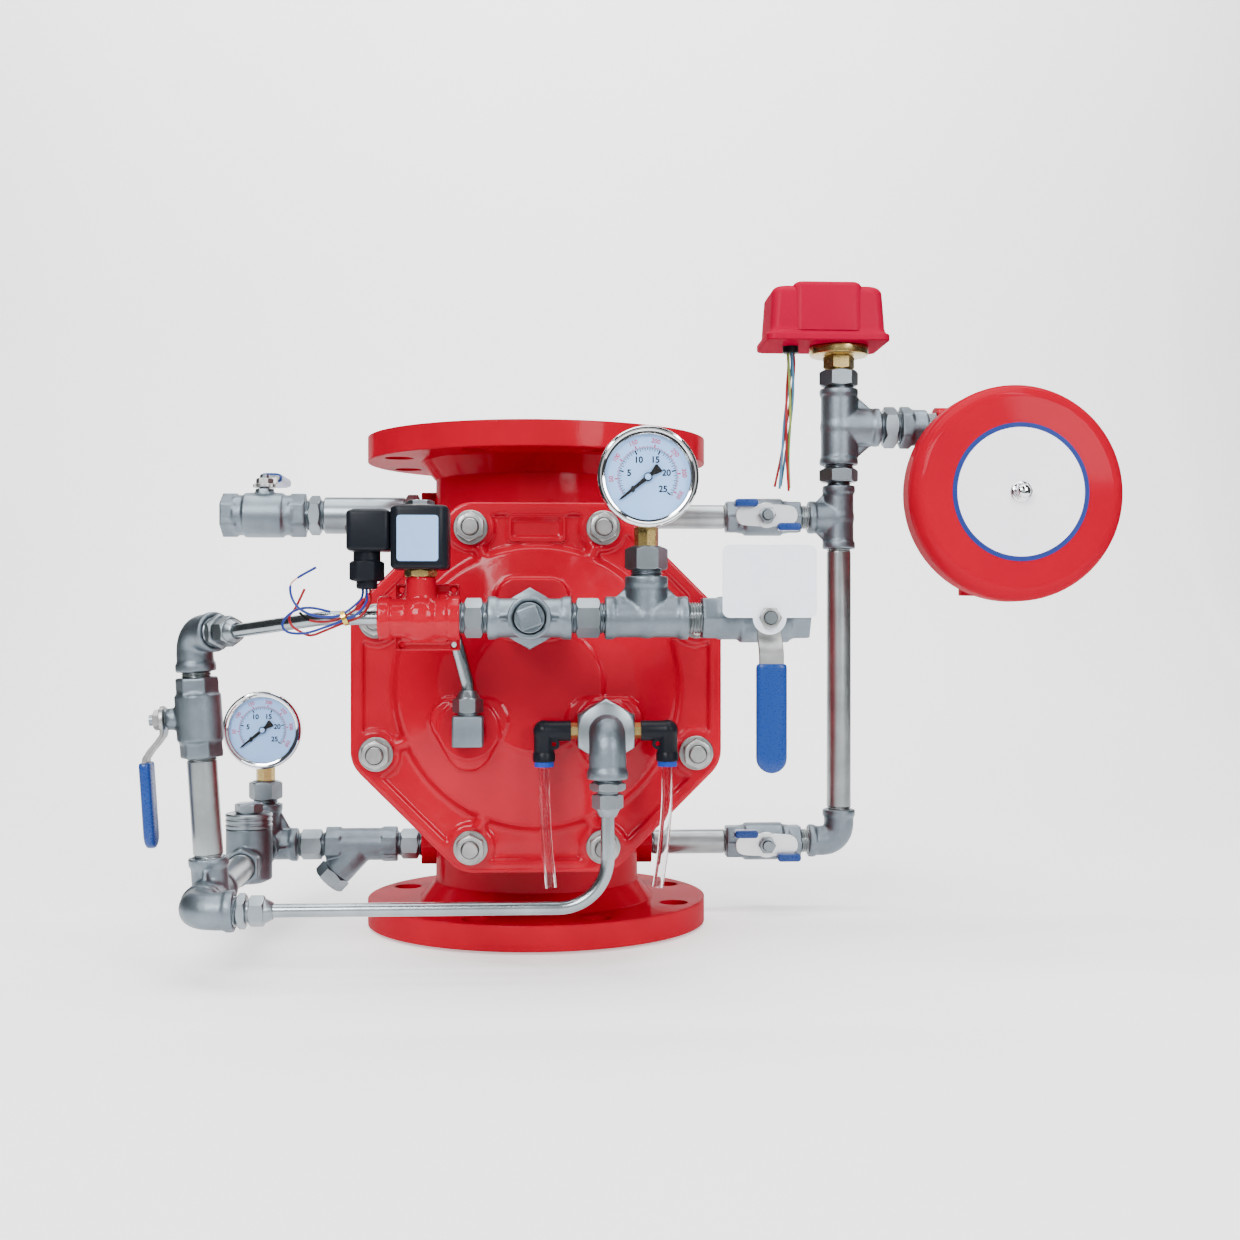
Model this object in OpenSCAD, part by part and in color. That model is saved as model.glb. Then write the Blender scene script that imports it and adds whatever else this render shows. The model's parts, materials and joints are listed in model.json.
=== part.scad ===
/* [Main valve body] */
// Nominal bore of the waterway
bore_d = 150; // [100:1:160]
// Outside diameter of the two end flanges
flange_d = 280; // [250:1:320]
// Thickness of an end flange without its raised face
flange_t = 20; // [16:1:30]
// Raised face diameter
raised_d = 212; // [180:1:220]
// Raised face height
raised_h = 2; // [1:0.5:4]
// Face to face length
face_to_face = 404; // [390:1:430]
// Bolt circle of the end flanges
flange_pcd = 240; // [230:1:250]
// Bolt holes in each end flange
flange_bolts = 8; // [4:4:12]
// Bolt hole diameter in the end flanges
flange_hole_d = 23; // [18:1:26]
// Outside diameter of the necks
neck_d = 168; // [166:1:176]
// Radius of the globe behind the cover
globe_r = 116; // [112:1:122]
// Wall thickness of the globe
globe_wall = 12; // [8:1:16]
// Height of the cover centre
cover_z = 202; // [196:1:208]
// Distance of the cover joint in front of the pipe axis
joint_y = 150; // [146:1:156]
// Distance of the side ports behind the pipe axis
port_y = 60; // [52:1:64]
// Reach of the side port bosses from the centre plane
port_x = 100; // [96:1:106]
// Height of the lower side ports
low_z = 57; // [54:1:60]
// Height of the upper side ports
up_z = 343; // [338:1:346]

/* [Cover and diaphragm] */
// Width of the octagonal cover across its flats
cover_af = 270; // [266:1:280]
// Corner radius of the octagon
cover_corner_r = 22; // [12:1:30]
// Thickness of the cover flange
cover_t = 20; // [16:1:24]
// Thickness of the flange on the body
body_flange_t = 20; // [16:1:24]
// Distance of the bolt circle inside the flats of the cover
bolt_edge = 9; // [7:1:11]
// Stud diameter
stud_d = 12; // [10:1:14]
// Height of the cover dome above its flange
dome_h = 14; // [10:1:18]
// Distance of the foot of the dome inside the bolt circle
dome_inset = 20; // [18:1:26]
// Radius of the flat in the middle of the dome
dome_flat_r = 47; // [40:1:52]
// Distance of the diaphragm rim inside the bolt circle
rim_gap = 14; // [13:1:17]
// Width of the raised lip round the cover
lip_w = 9; // [6:1:11]
// Height of the raised lip and of the bolt pads
lip_h = 3; // [2:0.5:4]
// Thickness of the diaphragm
diaphragm_t = 5; // [4:0.5:6]
// Inside radius of the seat
seat_r = 50; // [44:1:52]
// Distance of the seat face in front of the pipe axis
seat_y = 112; // [108:1:116]
// Stroke of the diaphragm plate
lift = 19; // [12:1:19]

/* [Trim pipe] */
// Outside diameter of half inch pipe
pipe_d = 21.3; // [20:0.1:22]
// Outside diameter of three quarter inch pipe
big_pipe_d = 26.7; // [26:0.1:28]
// Outside diameter of the steel pilot tube
tube_d = 9.5; // [8:0.5:10]
// Length of thread that enters a socket
thread_in = 11; // [8:1:12]
// Centre to face length of an elbow or tee
reach = 28; // [27:1:32]
// Wall of a cast fitting
fit_wall = 2.4; // [2:0.1:3]
// Extra wall of the bead round a socket
bead = 1.4; // [1:0.1:2]
// Clearance of a thread in its socket
thread_gap = 0.05; // [0.03:0.01:0.1]
// Clearance of a turning fit
run_gap = 0.05; // [0.03:0.01:0.08]
// Width across flats of a half inch hex
hex_af = 23; // [22:0.5:26]
// Bend radius of the pilot tubes
tube_bend_r = 34; // [28:1:40]

/* [Front trim line] */
// Distance of the front trim line in front of the pipe axis
front_y = 271; // [268:1:276]
// Height of the front trim line
front_z = 252; // [248:1:256]
// Offset of the cross from the centre plane
cross_x = -5; // [-8:1:-2]
// Depth of the hexagonal drip block
drip_block_l = 21; // [18:1:24]
// Offset of the two lower cover bosses
low_boss_x = 49; // [46:1:52]
// Height of the two lower cover bosses
low_boss_z = 172; // [168:1:176]
// Width of the hexagonal drip block across its flats
drip_af = 40; // [36:1:42]
// Diameter of the drip tubes
drip_tube_d = 8; // [6:1:8]

/* [Left trim] */
// Offset of the left line from the centre plane
left_x = 235; // [230:1:240]
// Height of the top elbow above the lower tee
riser_h = 190; // [186:1:196]
// Lean of the riser away from the valve
riser_lean = 3.5; // [0:0.5:5]
// Fall of the left line towards the front
left_pitch = 1.2; // [0:0.1:2]
// Distance of the check valve in front of the corner fitting
check_at = 80; // [76:1:84]
// Distance of the lower tee in front of the corner fitting
tee_at = 230; // [226:1:234]

/* [Right trim] */
// Offset of the vertical line on the right
right_x = 267; // [260:1:272]
// Height of the tee that feeds the gong
gong_tee_z = 423; // [421:1:426]
// Offset of the gong
gong_x = 393; // [388:1:398]
// Height of the gong
gong_z = 356; // [352:1:360]
// Diameter of the gong
gong_d = 178; // [170:1:184]
// Depth of the gong
gong_depth = 36; // [30:1:40]
// Distance of the gong rim in front of the pipe axis
gong_rim_y = 27; // [24:1:30]
// Width of the pressure switch box
switch_w = 108; // [100:1:114]
// Depth of the pressure switch box
switch_depth = 73; // [66:1:80]
// Height of the pressure switch box
switch_h = 52; // [46:1:58]

/* [Ball valves] */
// Diameter of a ball
ball_d = 24; // [23:0.5:25]
// Waterway through a ball
ball_bore = 14; // [12:0.5:15]
// Outside diameter of a valve body
valve_d = 33; // [32:0.5:36]
// Diameter of a valve stem
stem_d = 8; // [7:0.5:9]

/* [Gauges] */
// Diameter of a gauge
gauge_d = 67; // [63:1:70]
// Depth of a gauge case
gauge_depth = 28; // [24:1:32]
// Height of a gauge above the socket it screws into
gauge_rise = 65; // [62:1:68]

/* [Hidden] */
$fn = 64;

neck_z0 = raised_h + flange_t;
neck_z1 = face_to_face - neck_z0;
pipe_bore = 15;
big_bore = 20.5;
socket_d = pipe_d + 2 * thread_gap;
big_socket_d = big_pipe_d + 2 * thread_gap;
bead_w = 6;
nut_af = 19;
hex_side = 3;
cover_bolt_r = cover_af / 2 - bolt_edge;
dome_r = cover_bolt_r - dome_inset;
diaphragm_r = cover_bolt_r - rim_gap;
mouth_r = diaphragm_r - 12;
cover_top = joint_y + cover_t;
boss_top = cover_top + dome_h + 5;
dome_top = cover_top + dome_h;
chamber_x = 13.5;
valve_half = 33;
hex_l = 13;
neck_h = 24;
left_corner = [-left_x, port_y, low_z];
tee_tail = 36;

// Vectors and frames
function unit(v) = v / norm(v);
function turn_x(v, a) = [v[0], v[1] * cos(a) - v[2] * sin(a), v[1] * sin(a) + v[2] * cos(a)];
function turn_y(v, a) = [v[0] * cos(a) + v[2] * sin(a), v[1], v[2] * cos(a) - v[0] * sin(a)];
function left_dir(v) = turn_x(v, left_pitch);
function left_point(p) = left_corner + left_dir(p);
function riser_dir(v) = left_dir(turn_y(v, -riser_lean));
function riser_point(p) = left_point([0, -tee_at, 0] + turn_y(p, -riser_lean));

module left_frame()
  translate(left_corner)
    rotate([left_pitch, 0, 0])
      children();

module riser_frame()
  left_frame()
    translate([0, -tee_at, 0])
      rotate([0, -riser_lean, 0])
        children();

// Turns +Z into v and moves it to p
module aim(p, v)
  translate(p)
    rotate([0, acos(v[2] / norm(v)), atan2(v[1], v[0])])
      children();

module rod(p, v, d, l)
  aim(p, v)
    cylinder(d = d, h = l);

module hexbar(p, v, af, l, turn = 0)
  aim(p, v)
    rotate([0, 0, turn])
      cylinder(d = af / cos(30), h = l, $fn = 6);

// A straight tube through the points, with an arc of radius r at each corner
module tube_path(points, r, d) {
  lap = 0.5;
  n = len(points);
  dirs = [for (i = [0:n - 2]) unit(points[i + 1] - points[i])];
  half = [for (i = [1:n - 2]) acos(dirs[i - 1] * dirs[i]) / 2];
  cut = concat([0], [for (a = half) r * tan(a)], [0]);
  for (i = [0:n - 2]) {
    before = i == 0 ? 0 : cut[i] - lap;
    after = i == n - 2 ? 0 : cut[i + 1] - lap;
    rod(points[i] + before * dirs[i], dirs[i], d,
        norm(points[i + 1] - points[i]) - before - after);
  }
  for (i = [1:n - 2])
    bend(points[i] - cut[i] * dirs[i - 1], dirs[i - 1], dirs[i], r, 2 * half[i - 1], d - 0.1);
}

module bend(start, u, v, r, angle, d) {
  w = unit(v - (u * v) * u);
  z = cross(-w, u);
  c = start + r * w;
  multmatrix([
    [-w[0], u[0], z[0], c[0]],
    [-w[1], u[1], z[1], c[1]],
    [-w[2], u[2], z[2], c[2]],
    [0, 0, 0, 1]
  ])
    rotate_extrude(angle = angle)
      translate([r, 0])
        circle(d = d);
}

// Flat web between two legs at right angles, from collar to collar
web_t = 4;
module leg_web(a, b, r) {
  n = cross(a[0], b[0]);
  la = a[1] - bead_w;
  lb = b[1] - bead_w;
  multmatrix([
    [a[0][0], b[0][0], n[0], 0],
    [a[0][1], b[0][1], n[1], 0],
    [a[0][2], b[0][2], n[2], 0],
    [0, 0, 0, 1]
  ])
    linear_extrude(web_t, center = true)
      polygon([[0, 0], [la, 0], [la, r], [r, lb], [0, lb]]);
}

// A cast fitting: legs are [direction, reach], od is the pipe that screws in
module fitting(legs, od, id) {
  difference() {
    union() {
      for (i = [0:len(legs) - 1], k = [0:len(legs) - 1])
        if (i < k && legs[i][0] * legs[k][0] == 0)
          leg_web(legs[i], legs[k], od / 2 + fit_wall - 0.5);
      sphere(d = od + 2 * fit_wall + 1.6);
      for (leg = legs) {
        rod([0, 0, 0], leg[0], od + 2 * fit_wall, leg[1] - 1);
        rod((leg[1] - bead_w) * leg[0], leg[0], od + 2 * (fit_wall + bead), bead_w);
      }
    }
    sphere(d = id + 0.6);
    for (leg = legs) {
      rod([0, 0, 0], leg[0], id, leg[1]);
      rod((leg[1] - thread_in) * leg[0], leg[0], od + 2 * thread_gap, thread_in + 1);
    }
  }
}

// A cast elbow with legs along +X and +Z
module elbow(od, id) {
  turn_r = 14;
  difference() {
    union() {
      translate([turn_r, 0, turn_r])
        rotate([90, 0, 0])
          rotate([0, 0, 180])
            rotate_extrude(angle = 90)
              translate([turn_r, 0])
                circle(d = od + 2 * fit_wall - 0.4);
      for (v = [[1, 0, 0], [0, 0, 1]]) {
        rod((turn_r - 0.5) * v, v, od + 2 * fit_wall, reach - turn_r);
        rod((reach - bead_w) * v, v, od + 2 * (fit_wall + bead), bead_w);
      }
    }
    for (v = [[1, 0, 0], [0, 0, 1]]) {
      rod([0, 0, 0], v, id, reach);
      rod((reach - thread_in) * v, v, od + 2 * thread_gap, thread_in + 1);
    }
  }
}

// A nipple with a hexagon in the gap between two sockets
module nipple(p, v, gap, od = pipe_d, id = pipe_bore, af = hex_af) {
  side = min(hex_side, gap / 4);
  difference() {
    union() {
      rod(p - thread_in * unit(v), v, od, gap + 2 * thread_in);
      hexbar(p + side * unit(v), v, af, gap - 2 * side);
    }
    rod(p - (thread_in + 1) * unit(v), v, id - 1, gap + 2 * thread_in + 2);
  }
}

module pipe(p, v, gap, od = pipe_d, id = pipe_bore)
  difference() {
    rod(p - thread_in * unit(v), v, od, gap + 2 * thread_in);
    rod(p - (thread_in + 1) * unit(v), v, id, gap + 2 * thread_in + 2);
  }

// Compression fitting that starts at the socket face p
conn_hex = 8;
conn_neck = 9;
conn_seat = 5;
nut_start = 10;
nut_l = 16;
module connector(p, v, od = pipe_d, af = 22)
  aim(p, v)
    difference() {
      union() {
        translate([0, 0, -thread_in])
          cylinder(d = od, h = thread_in + 2);
        translate([0, 0, 2])
          cylinder(d = af / cos(30), h = conn_hex - 2, $fn = 6);
        cylinder(d = 15, h = conn_hex + conn_neck);
      }
      translate([0, 0, -thread_in - 1])
        cylinder(d = 6.5, h = 60);
      translate([0, 0, conn_seat])
        cylinder(d = tube_d + 2 * thread_gap, h = 60);
    }

module tube_nut(p, v)
  aim(p, v)
    difference() {
      translate([0, 0, nut_start])
        intersection() {
          cylinder(d = nut_af / cos(30), h = nut_l, $fn = 6);
          cylinder(d1 = nut_af + 14, d2 = nut_af - 1, h = nut_l + 1.5);
        }
      translate([0, 0, nut_start - 1])
        cylinder(d = 15 + 2 * thread_gap, h = conn_hex + conn_neck - nut_start + 1);
      translate([0, 0, nut_start])
        cylinder(d = tube_d + 2 * thread_gap, h = nut_l + 5);
    }

// Polygon of n sides with rounded corners, given the radius to its flats
module rounded_sides(n, flat_r, r) {
  steps = 5;
  half = 180 / n;
  polygon([
    for (i = [0:n - 1], k = [0:steps])
      let (a = half * (2 * i + 1), b = 2 * half * (i + k / steps))
        (flat_r - r) / cos(half) * [cos(a), sin(a)] + r * [cos(b), sin(b)]
  ]);
}

module octagon_2d(af, r)
  rounded_sides(8, af / 2, r);

// Local Z of this frame points to the front from the pipe axis
module front_frame()
  translate([0, 0, cover_z])
    rotate([90, 0, 0])
      children();

module at_cover_bolts()
  for (i = [0:7])
    rotate([0, 0, 22.5 + 45 * i])
      translate([cover_bolt_r, 0, 0])
        children();

module neck_foot(z, up)
  translate([0, 0, z])
    mirror([0, 0, up ? 0 : 1])
      cylinder(d1 = neck_d + 26, d2 = neck_d + 1, h = 14);

// Main valve body
module waterway(extra) {
  translate([0, 0, cover_z])
    sphere(r = globe_r - globe_wall + extra);
  front_frame()
    cylinder(r = mouth_r + extra, h = joint_y + 1);
  translate([0, 0, -1])
    cylinder(d = bore_d + 2 * extra, h = face_to_face + 2);
}

module seat_web() {
  wall_y = 25;
  web_t = 10;
  top_z = cover_z + seat_r + 2;
  floor_z = cover_z - 100;
  wide = 2 * globe_r;
  translate([-wide / 2, -wall_y - web_t, floor_z])
    cube([wide, web_t, top_z + web_t - floor_z]);
  translate([-wide / 2, -wall_y, top_z])
    cube([wide, globe_r + wall_y, web_t]);
  translate([-wide / 2, -globe_r, floor_z])
    cube([wide, globe_r - wall_y, web_t]);
  front_frame()
    translate([0, 0, wall_y])
      cylinder(r = seat_r + 12, h = seat_y - wall_y - 6);
}

module port_boss(x, z, d)
  translate([0, port_y, z])
    rotate([0, 90, 0])
      translate([0, 0, min(x, 0)])
        cylinder(d = d, h = abs(x));

module valve_body()
  color("red")
    difference() {
      union() {
        difference() {
          union() {
            for (z = [raised_h, face_to_face - neck_z0])
              translate([0, 0, z])
                cylinder(d = flange_d, h = flange_t, $fn = 128);
            cylinder(d = raised_d, h = face_to_face, $fn = 128);
          }
          translate([0, 0, neck_z0])
            difference() {
              cylinder(d = raised_d + 2, h = neck_z1 - neck_z0);
              cylinder(d = neck_d, h = neck_z1 - neck_z0);
            }
        }
        neck_foot(neck_z0, true);
        neck_foot(neck_z1, false);
        translate([0, 0, cover_z])
          sphere(r = globe_r);
        front_frame()
          cylinder(r = mouth_r + globe_wall, h = joint_y - 1);
        front_frame()
          translate([0, 0, joint_y - body_flange_t])
            linear_extrude(body_flange_t)
              octagon_2d(cover_af, cover_corner_r);
        for (x = [-1, 1])
          port_boss(x * port_x, low_z, pipe_d + 14);
        port_boss(port_x, up_z, pipe_d + 14);
        port_boss(-port_x, up_z, big_pipe_d + 14);
      }
      difference() {
        waterway(0);
        seat_web();
      }
      front_frame()
        cylinder(r = seat_r, h = joint_y);
      front_frame()
        translate([0, 0, seat_y - 6])
          cylinder(r = seat_r + 10 + thread_gap, h = 20);
      for (i = [0:flange_bolts - 1])
        rotate([0, 0, 360 / flange_bolts * (i + 0.5)])
          translate([flange_pcd / 2, 0, -1])
            cylinder(d = flange_hole_d, h = face_to_face + 2);
      front_frame()
        translate([0, 0, joint_y - body_flange_t - 1])
          at_cover_bolts()
            cylinder(d = stud_d + 2 * thread_gap, h = body_flange_t + 2);
      for (x = [-1, 1])
        side_port(x, low_z, pipe_bore, socket_d);
      side_port(1, up_z, pipe_bore, socket_d);
      side_port(-1, up_z, big_bore, big_socket_d);
    }

module side_port(x, z, id, sd) {
  rod([x * 20, port_y, z], [x, 0, 0], id, port_x);
  rod([x * (port_x - thread_in), port_y, z], [x, 0, 0], sd, thread_in + 1);
}

module seat_ring()
  color("goldenrod")
    front_frame()
      rotate_extrude()
        polygon([
          [seat_r, seat_y - 6],
          [seat_r + 10, seat_y - 6],
          [seat_r + 10, seat_y - 1],
          [seat_r + 6, seat_y],
          [seat_r + 2, seat_y],
          [seat_r, seat_y - 2]
        ]);

// Rubber diaphragm, clamped at its rim and flat where it meets the seat
module diaphragm()
  color("dimgray")
    front_frame()
      rotate_extrude()
        polygon([
          [0, seat_y],
          [seat_r + 14, seat_y],
          [seat_r + 30, joint_y - 2 - diaphragm_t],
          [diaphragm_r - 16, joint_y],
          [diaphragm_r, joint_y],
          [diaphragm_r, joint_y + diaphragm_t],
          [diaphragm_r - 18, joint_y + diaphragm_t],
          [seat_r + 26, joint_y - 2],
          [seat_r + 12, seat_y + diaphragm_t],
          [0, seat_y + diaphragm_t]
        ]);

disc_t = 6;
guide_r = 8;
disc_front = seat_y + diaphragm_t + disc_t;
module lift_disc()
  color("silver")
    front_frame() {
      translate([0, 0, seat_y + diaphragm_t])
        cylinder(r = seat_r + 4, h = disc_t);
      translate([0, 0, disc_front - 1])
        cylinder(r = guide_r, h = 33);
    }

guide_end = disc_front + lift + 0.5;
module lift_spring() {
  turns = 4;
  wire = 3;
  r = 24;
  z0 = disc_front + wire / 2;
  z1 = cover_top - 5 - wire / 2;
  steps = turns * 16;
  sides = 6;
  pts = [
    for (i = [0:steps], k = [0:sides - 1])
      let (a = 360 * turns * i / steps, b = 360 * k / sides, q = r + wire / 2 * cos(b))
        [q * cos(a), q * sin(a), z0 + (z1 - z0) * i / steps + wire / 2 * sin(b)]
  ];
  faces = concat(
    [[for (k = [0:sides - 1]) k]],
    [for (i = [0:steps - 1], k = [0:sides - 1])
      let (n = (k + 1) % sides)
        [i * sides + k, (i + 1) * sides + k, (i + 1) * sides + n, i * sides + n]],
    [[for (k = [sides - 1:-1:0]) steps * sides + k]]
  );
  color("gray")
    front_frame()
      polyhedron(pts, faces);
}

// Cover casting: lip, dome, bolt pads with ribs, port bosses and the blank name frame
bolt_pad_r = 17;
rib_d = 10;
rib_l = 22;
name_frame = [42, 20];
name_edge = 2.5;
name_up = cover_af / 2 - 19;
cross_pad = [51, 43];
shield_r = 22.6;
shield_corner_r = 15.7;
low_boss_d = 43;

// Round boss on a shield with three rounded corners, one of them pointing down
module low_boss(x)
  translate([x * low_boss_x, low_boss_z - cover_z, cover_top - 2]) {
    cylinder(d = low_boss_d, h = boss_top - cover_top + 2);
    rotate([0, 0, -30])
      linear_extrude(boss_top - cover_top)
        rounded_sides(3, shield_r, shield_corner_r);
  }

module name_pocket()
  translate([0, name_up, cover_top - 1]) {
    difference() {
      rounded_box(name_frame[0], name_frame[1], 3, 4);
      translate([0, 0, 1])
        rounded_box(name_frame[0] - 2 * name_edge, name_frame[1] - 2 * name_edge, 3, 3);
    }
  }

module cover()
  color("red")
    front_frame()
      difference() {
        union() {
          translate([0, 0, joint_y])
            linear_extrude(cover_t)
              octagon_2d(cover_af, cover_corner_r);
          translate([0, 0, cover_top - 1])
            difference() {
              linear_extrude(lip_h + 1)
                octagon_2d(cover_af, cover_corner_r);
              translate([0, 0, -1])
                linear_extrude(lip_h + 3)
                  octagon_2d(cover_af - 2 * lip_w, cover_corner_r - 4);
            }
          difference() {
            rotate_extrude($fn = 128)
              polygon([
                [0, cover_top - 1],
                [dome_r, cover_top - 1],
                [dome_r - 5, cover_top + 6],
                [dome_flat_r + 24, dome_top - 2],
                [dome_flat_r + 2, dome_top],
                [dome_flat_r, dome_top + 1.5],
                [0, dome_top + 1.5]
              ]);
            translate([0, 0, cover_top])
              at_cover_bolts()
                cylinder(r = bolt_pad_r + 2, h = dome_h + 5);
          }
          translate([0, 0, cover_top - 1])
            at_cover_bolts() {
              cylinder(r = bolt_pad_r, h = lip_h + 1);
              rod([-rib_l - bolt_pad_r + 3, 0, 1.5], [1, 0, 0], rib_d, rib_l);
            }
          translate([cross_x + 2, front_z - cover_z + 7.5, cover_top - 2])
            rounded_box(cross_pad[0], cross_pad[1], boss_top - cover_top + 2, 13);
          for (x = [-1, 1])
            low_boss(x);
          name_pocket();
        }
        translate([0, 0, joint_y - 1])
          cylinder(r = diaphragm_r + 0.2, h = diaphragm_t + 1);
        difference() {
          translate([0, 0, joint_y])
            cylinder(r1 = diaphragm_r - 14, r2 = diaphragm_r - 26, h = cover_t - 5);
          translate([0, 0, guide_end])
            cylinder(r = guide_r + 6, h = 60);
        }
        translate([0, 0, guide_end - 1])
          cylinder(r = guide_r + run_gap, h = cover_top + 8 - guide_end);
        translate([0, 0, joint_y - 1])
          at_cover_bolts()
            cylinder(d = stud_d + 1.5, h = 60);
        cover_port(cross_x, front_z - cover_z, boss_top);
        cover_port(-low_boss_x, low_boss_z - cover_z, boss_top);
        cover_port(low_boss_x, low_boss_z - cover_z, boss_top);
      }

module cover_port(x, z, top) {
  translate([x, z, joint_y + 8])
    cylinder(d = 12, h = 60);
  translate([x, z, top - thread_in])
    cylinder(d = socket_d, h = thread_in + 1);
}

washer_t = 2.5;
cover_nut_h = 10;
pad_top = cover_top + lip_h;
module cover_studs()
  color("silver")
    front_frame()
      translate([0, 0, joint_y - body_flange_t])
        at_cover_bolts()
          cylinder(d = stud_d, h = pad_top + washer_t + cover_nut_h + 3 - joint_y + body_flange_t);

module cover_washers()
  color("silver")
    front_frame()
      translate([0, 0, pad_top])
        at_cover_bolts()
          difference() {
            cylinder(d = 25, h = washer_t);
            translate([0, 0, -1])
              cylinder(d = stud_d + 1, h = 5);
          }

module cover_nuts()
  color("silver")
    front_frame()
      translate([0, 0, pad_top + washer_t])
        at_cover_bolts()
          difference() {
            intersection() {
              cylinder(d = 19 / cos(30), h = cover_nut_h, $fn = 6);
              cylinder(d1 = 28, d2 = 18.6, h = cover_nut_h + 1);
            }
            translate([0, 0, -1])
              cylinder(d = stud_d + 2 * thread_gap, h = 20);
          }

// Stations of the front trim line
pair = 58;
solenoid_l = 54;
solenoid_x = -105;
cross_left = cross_x - reach;
cross_right = cross_x + reach;
gauge_tee_x = 73;
manual_left = 42;
manual_right = 30;
manual_x = gauge_tee_x + reach + 9 + manual_left;
line_point = [0, -front_y, front_z];
drip_at = tee_at + pair;
drip_y = -left_point([0, -drip_at, 0])[1];
drip_z = left_point([0, -drip_at, 0])[2];
street_reach = 32;
block_w = 22;
drip_front = boss_top + drip_block_l;
wing_x = 199;
left_valve_h = 129;
left_half = 29;
drain_x = -236;
drain_half = 36;
drain_gap = 16;
drain_left = drain_x + drain_half;
strainer_x = -152;
strainer_half = 31;
big_reach = 34;
branch_reach = 36;
switch_x = right_x - 15;
switch_z = gong_tee_z + big_reach + 37;
coupling_x = right_x + branch_reach + 18;
coupling_l = 24;
inlet_x = gong_x - 40;

module right_valve_at(z)
  translate([wing_x, port_y, z])
    rotate([90, 0, 0])
      children();

module manual_at()
  translate([manual_x, -front_y, front_z])
    rotate([90, 0, 0])
      children();

module left_valve_at()
  riser_frame()
    translate([0, 0, left_valve_h])
      rotate([0, -90, 0])
        children();

module drain_at()
  translate([drain_x, port_y, up_z])
    children();

module hex_nipples()
  color("silver") {
    nipple([solenoid_x + solenoid_l, 0, 0] + line_point, [1, 0, 0],
           cross_left - solenoid_x - solenoid_l);
    nipple([cross_right, 0, 0] + line_point, [1, 0, 0], gauge_tee_x - reach - cross_right);
    nipple([-left_x + reach, port_y, low_z], [1, 0, 0],
           strainer_x - strainer_half + left_x - reach);
    nipple([strainer_x + strainer_half, port_y, low_z], [1, 0, 0],
           -port_x - strainer_x - strainer_half);
    nipple([drain_left, port_y, up_z], [1, 0, 0], drain_gap, big_pipe_d, big_bore, 30);
    left_frame()
      nipple([0, -reach, 0], [0, -1, 0], check_at - check_half - reach);
    step_nipple([right_x, port_y, up_z + reach], gong_tee_z - big_reach - up_z - reach);
    nipple([right_x + branch_reach, port_y, gong_tee_z], [1, 0, 0],
           coupling_x - right_x - branch_reach, big_pipe_d, big_bore, 32);
  }

// Half inch below, three quarter inch above
module step_nipple(p, gap)
  translate(p)
    difference() {
      union() {
        translate([0, 0, -thread_in])
          cylinder(d = pipe_d, h = thread_in + 4);
        translate([0, 0, hex_side])
          cylinder(d = 30 / cos(30), h = gap - 2 * hex_side, $fn = 6);
        translate([0, 0, gap - 4])
          cylinder(d = big_pipe_d, h = thread_in + 4);
      }
      translate([0, 0, -thread_in - 1])
        cylinder(d = pipe_bore - 1, h = gap + 2 * thread_in + 2);
    }

module trim_pipes()
  color("silver") {
    pipe([gauge_tee_x + reach, 0, 0] + line_point, [1, 0, 0], 9);
    for (z = [low_z, up_z]) {
      pipe([port_x, port_y, z], [1, 0, 0], wing_x - valve_half - port_x);
      pipe([wing_x + valve_half, port_y, z], [1, 0, 0], right_x - reach - wing_x - valve_half);
    }
    pipe([right_x, port_y, low_z + reach], [0, 0, 1], up_z - low_z - 2 * reach);
    pipe([coupling_x + coupling_l, port_y, gong_tee_z], [1, 0, 0],
         inlet_x - coupling_x - coupling_l, big_pipe_d, big_bore);
    riser_frame() {
      pipe([0, 0, reach], [0, 0, 1], left_valve_h - left_half - reach);
      pipe([0, 0, left_valve_h + left_half], [0, 0, 1], riser_h - reach - left_valve_h - left_half);
    }
    left_frame() {
      pipe([0, -check_at - check_half, 0], [0, -1, 0], tee_at - reach - check_at - check_half);
      pipe([0, -tee_at - reach, 0], [0, -1, 0], pair - 2 * reach);
    }
  }

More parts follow.
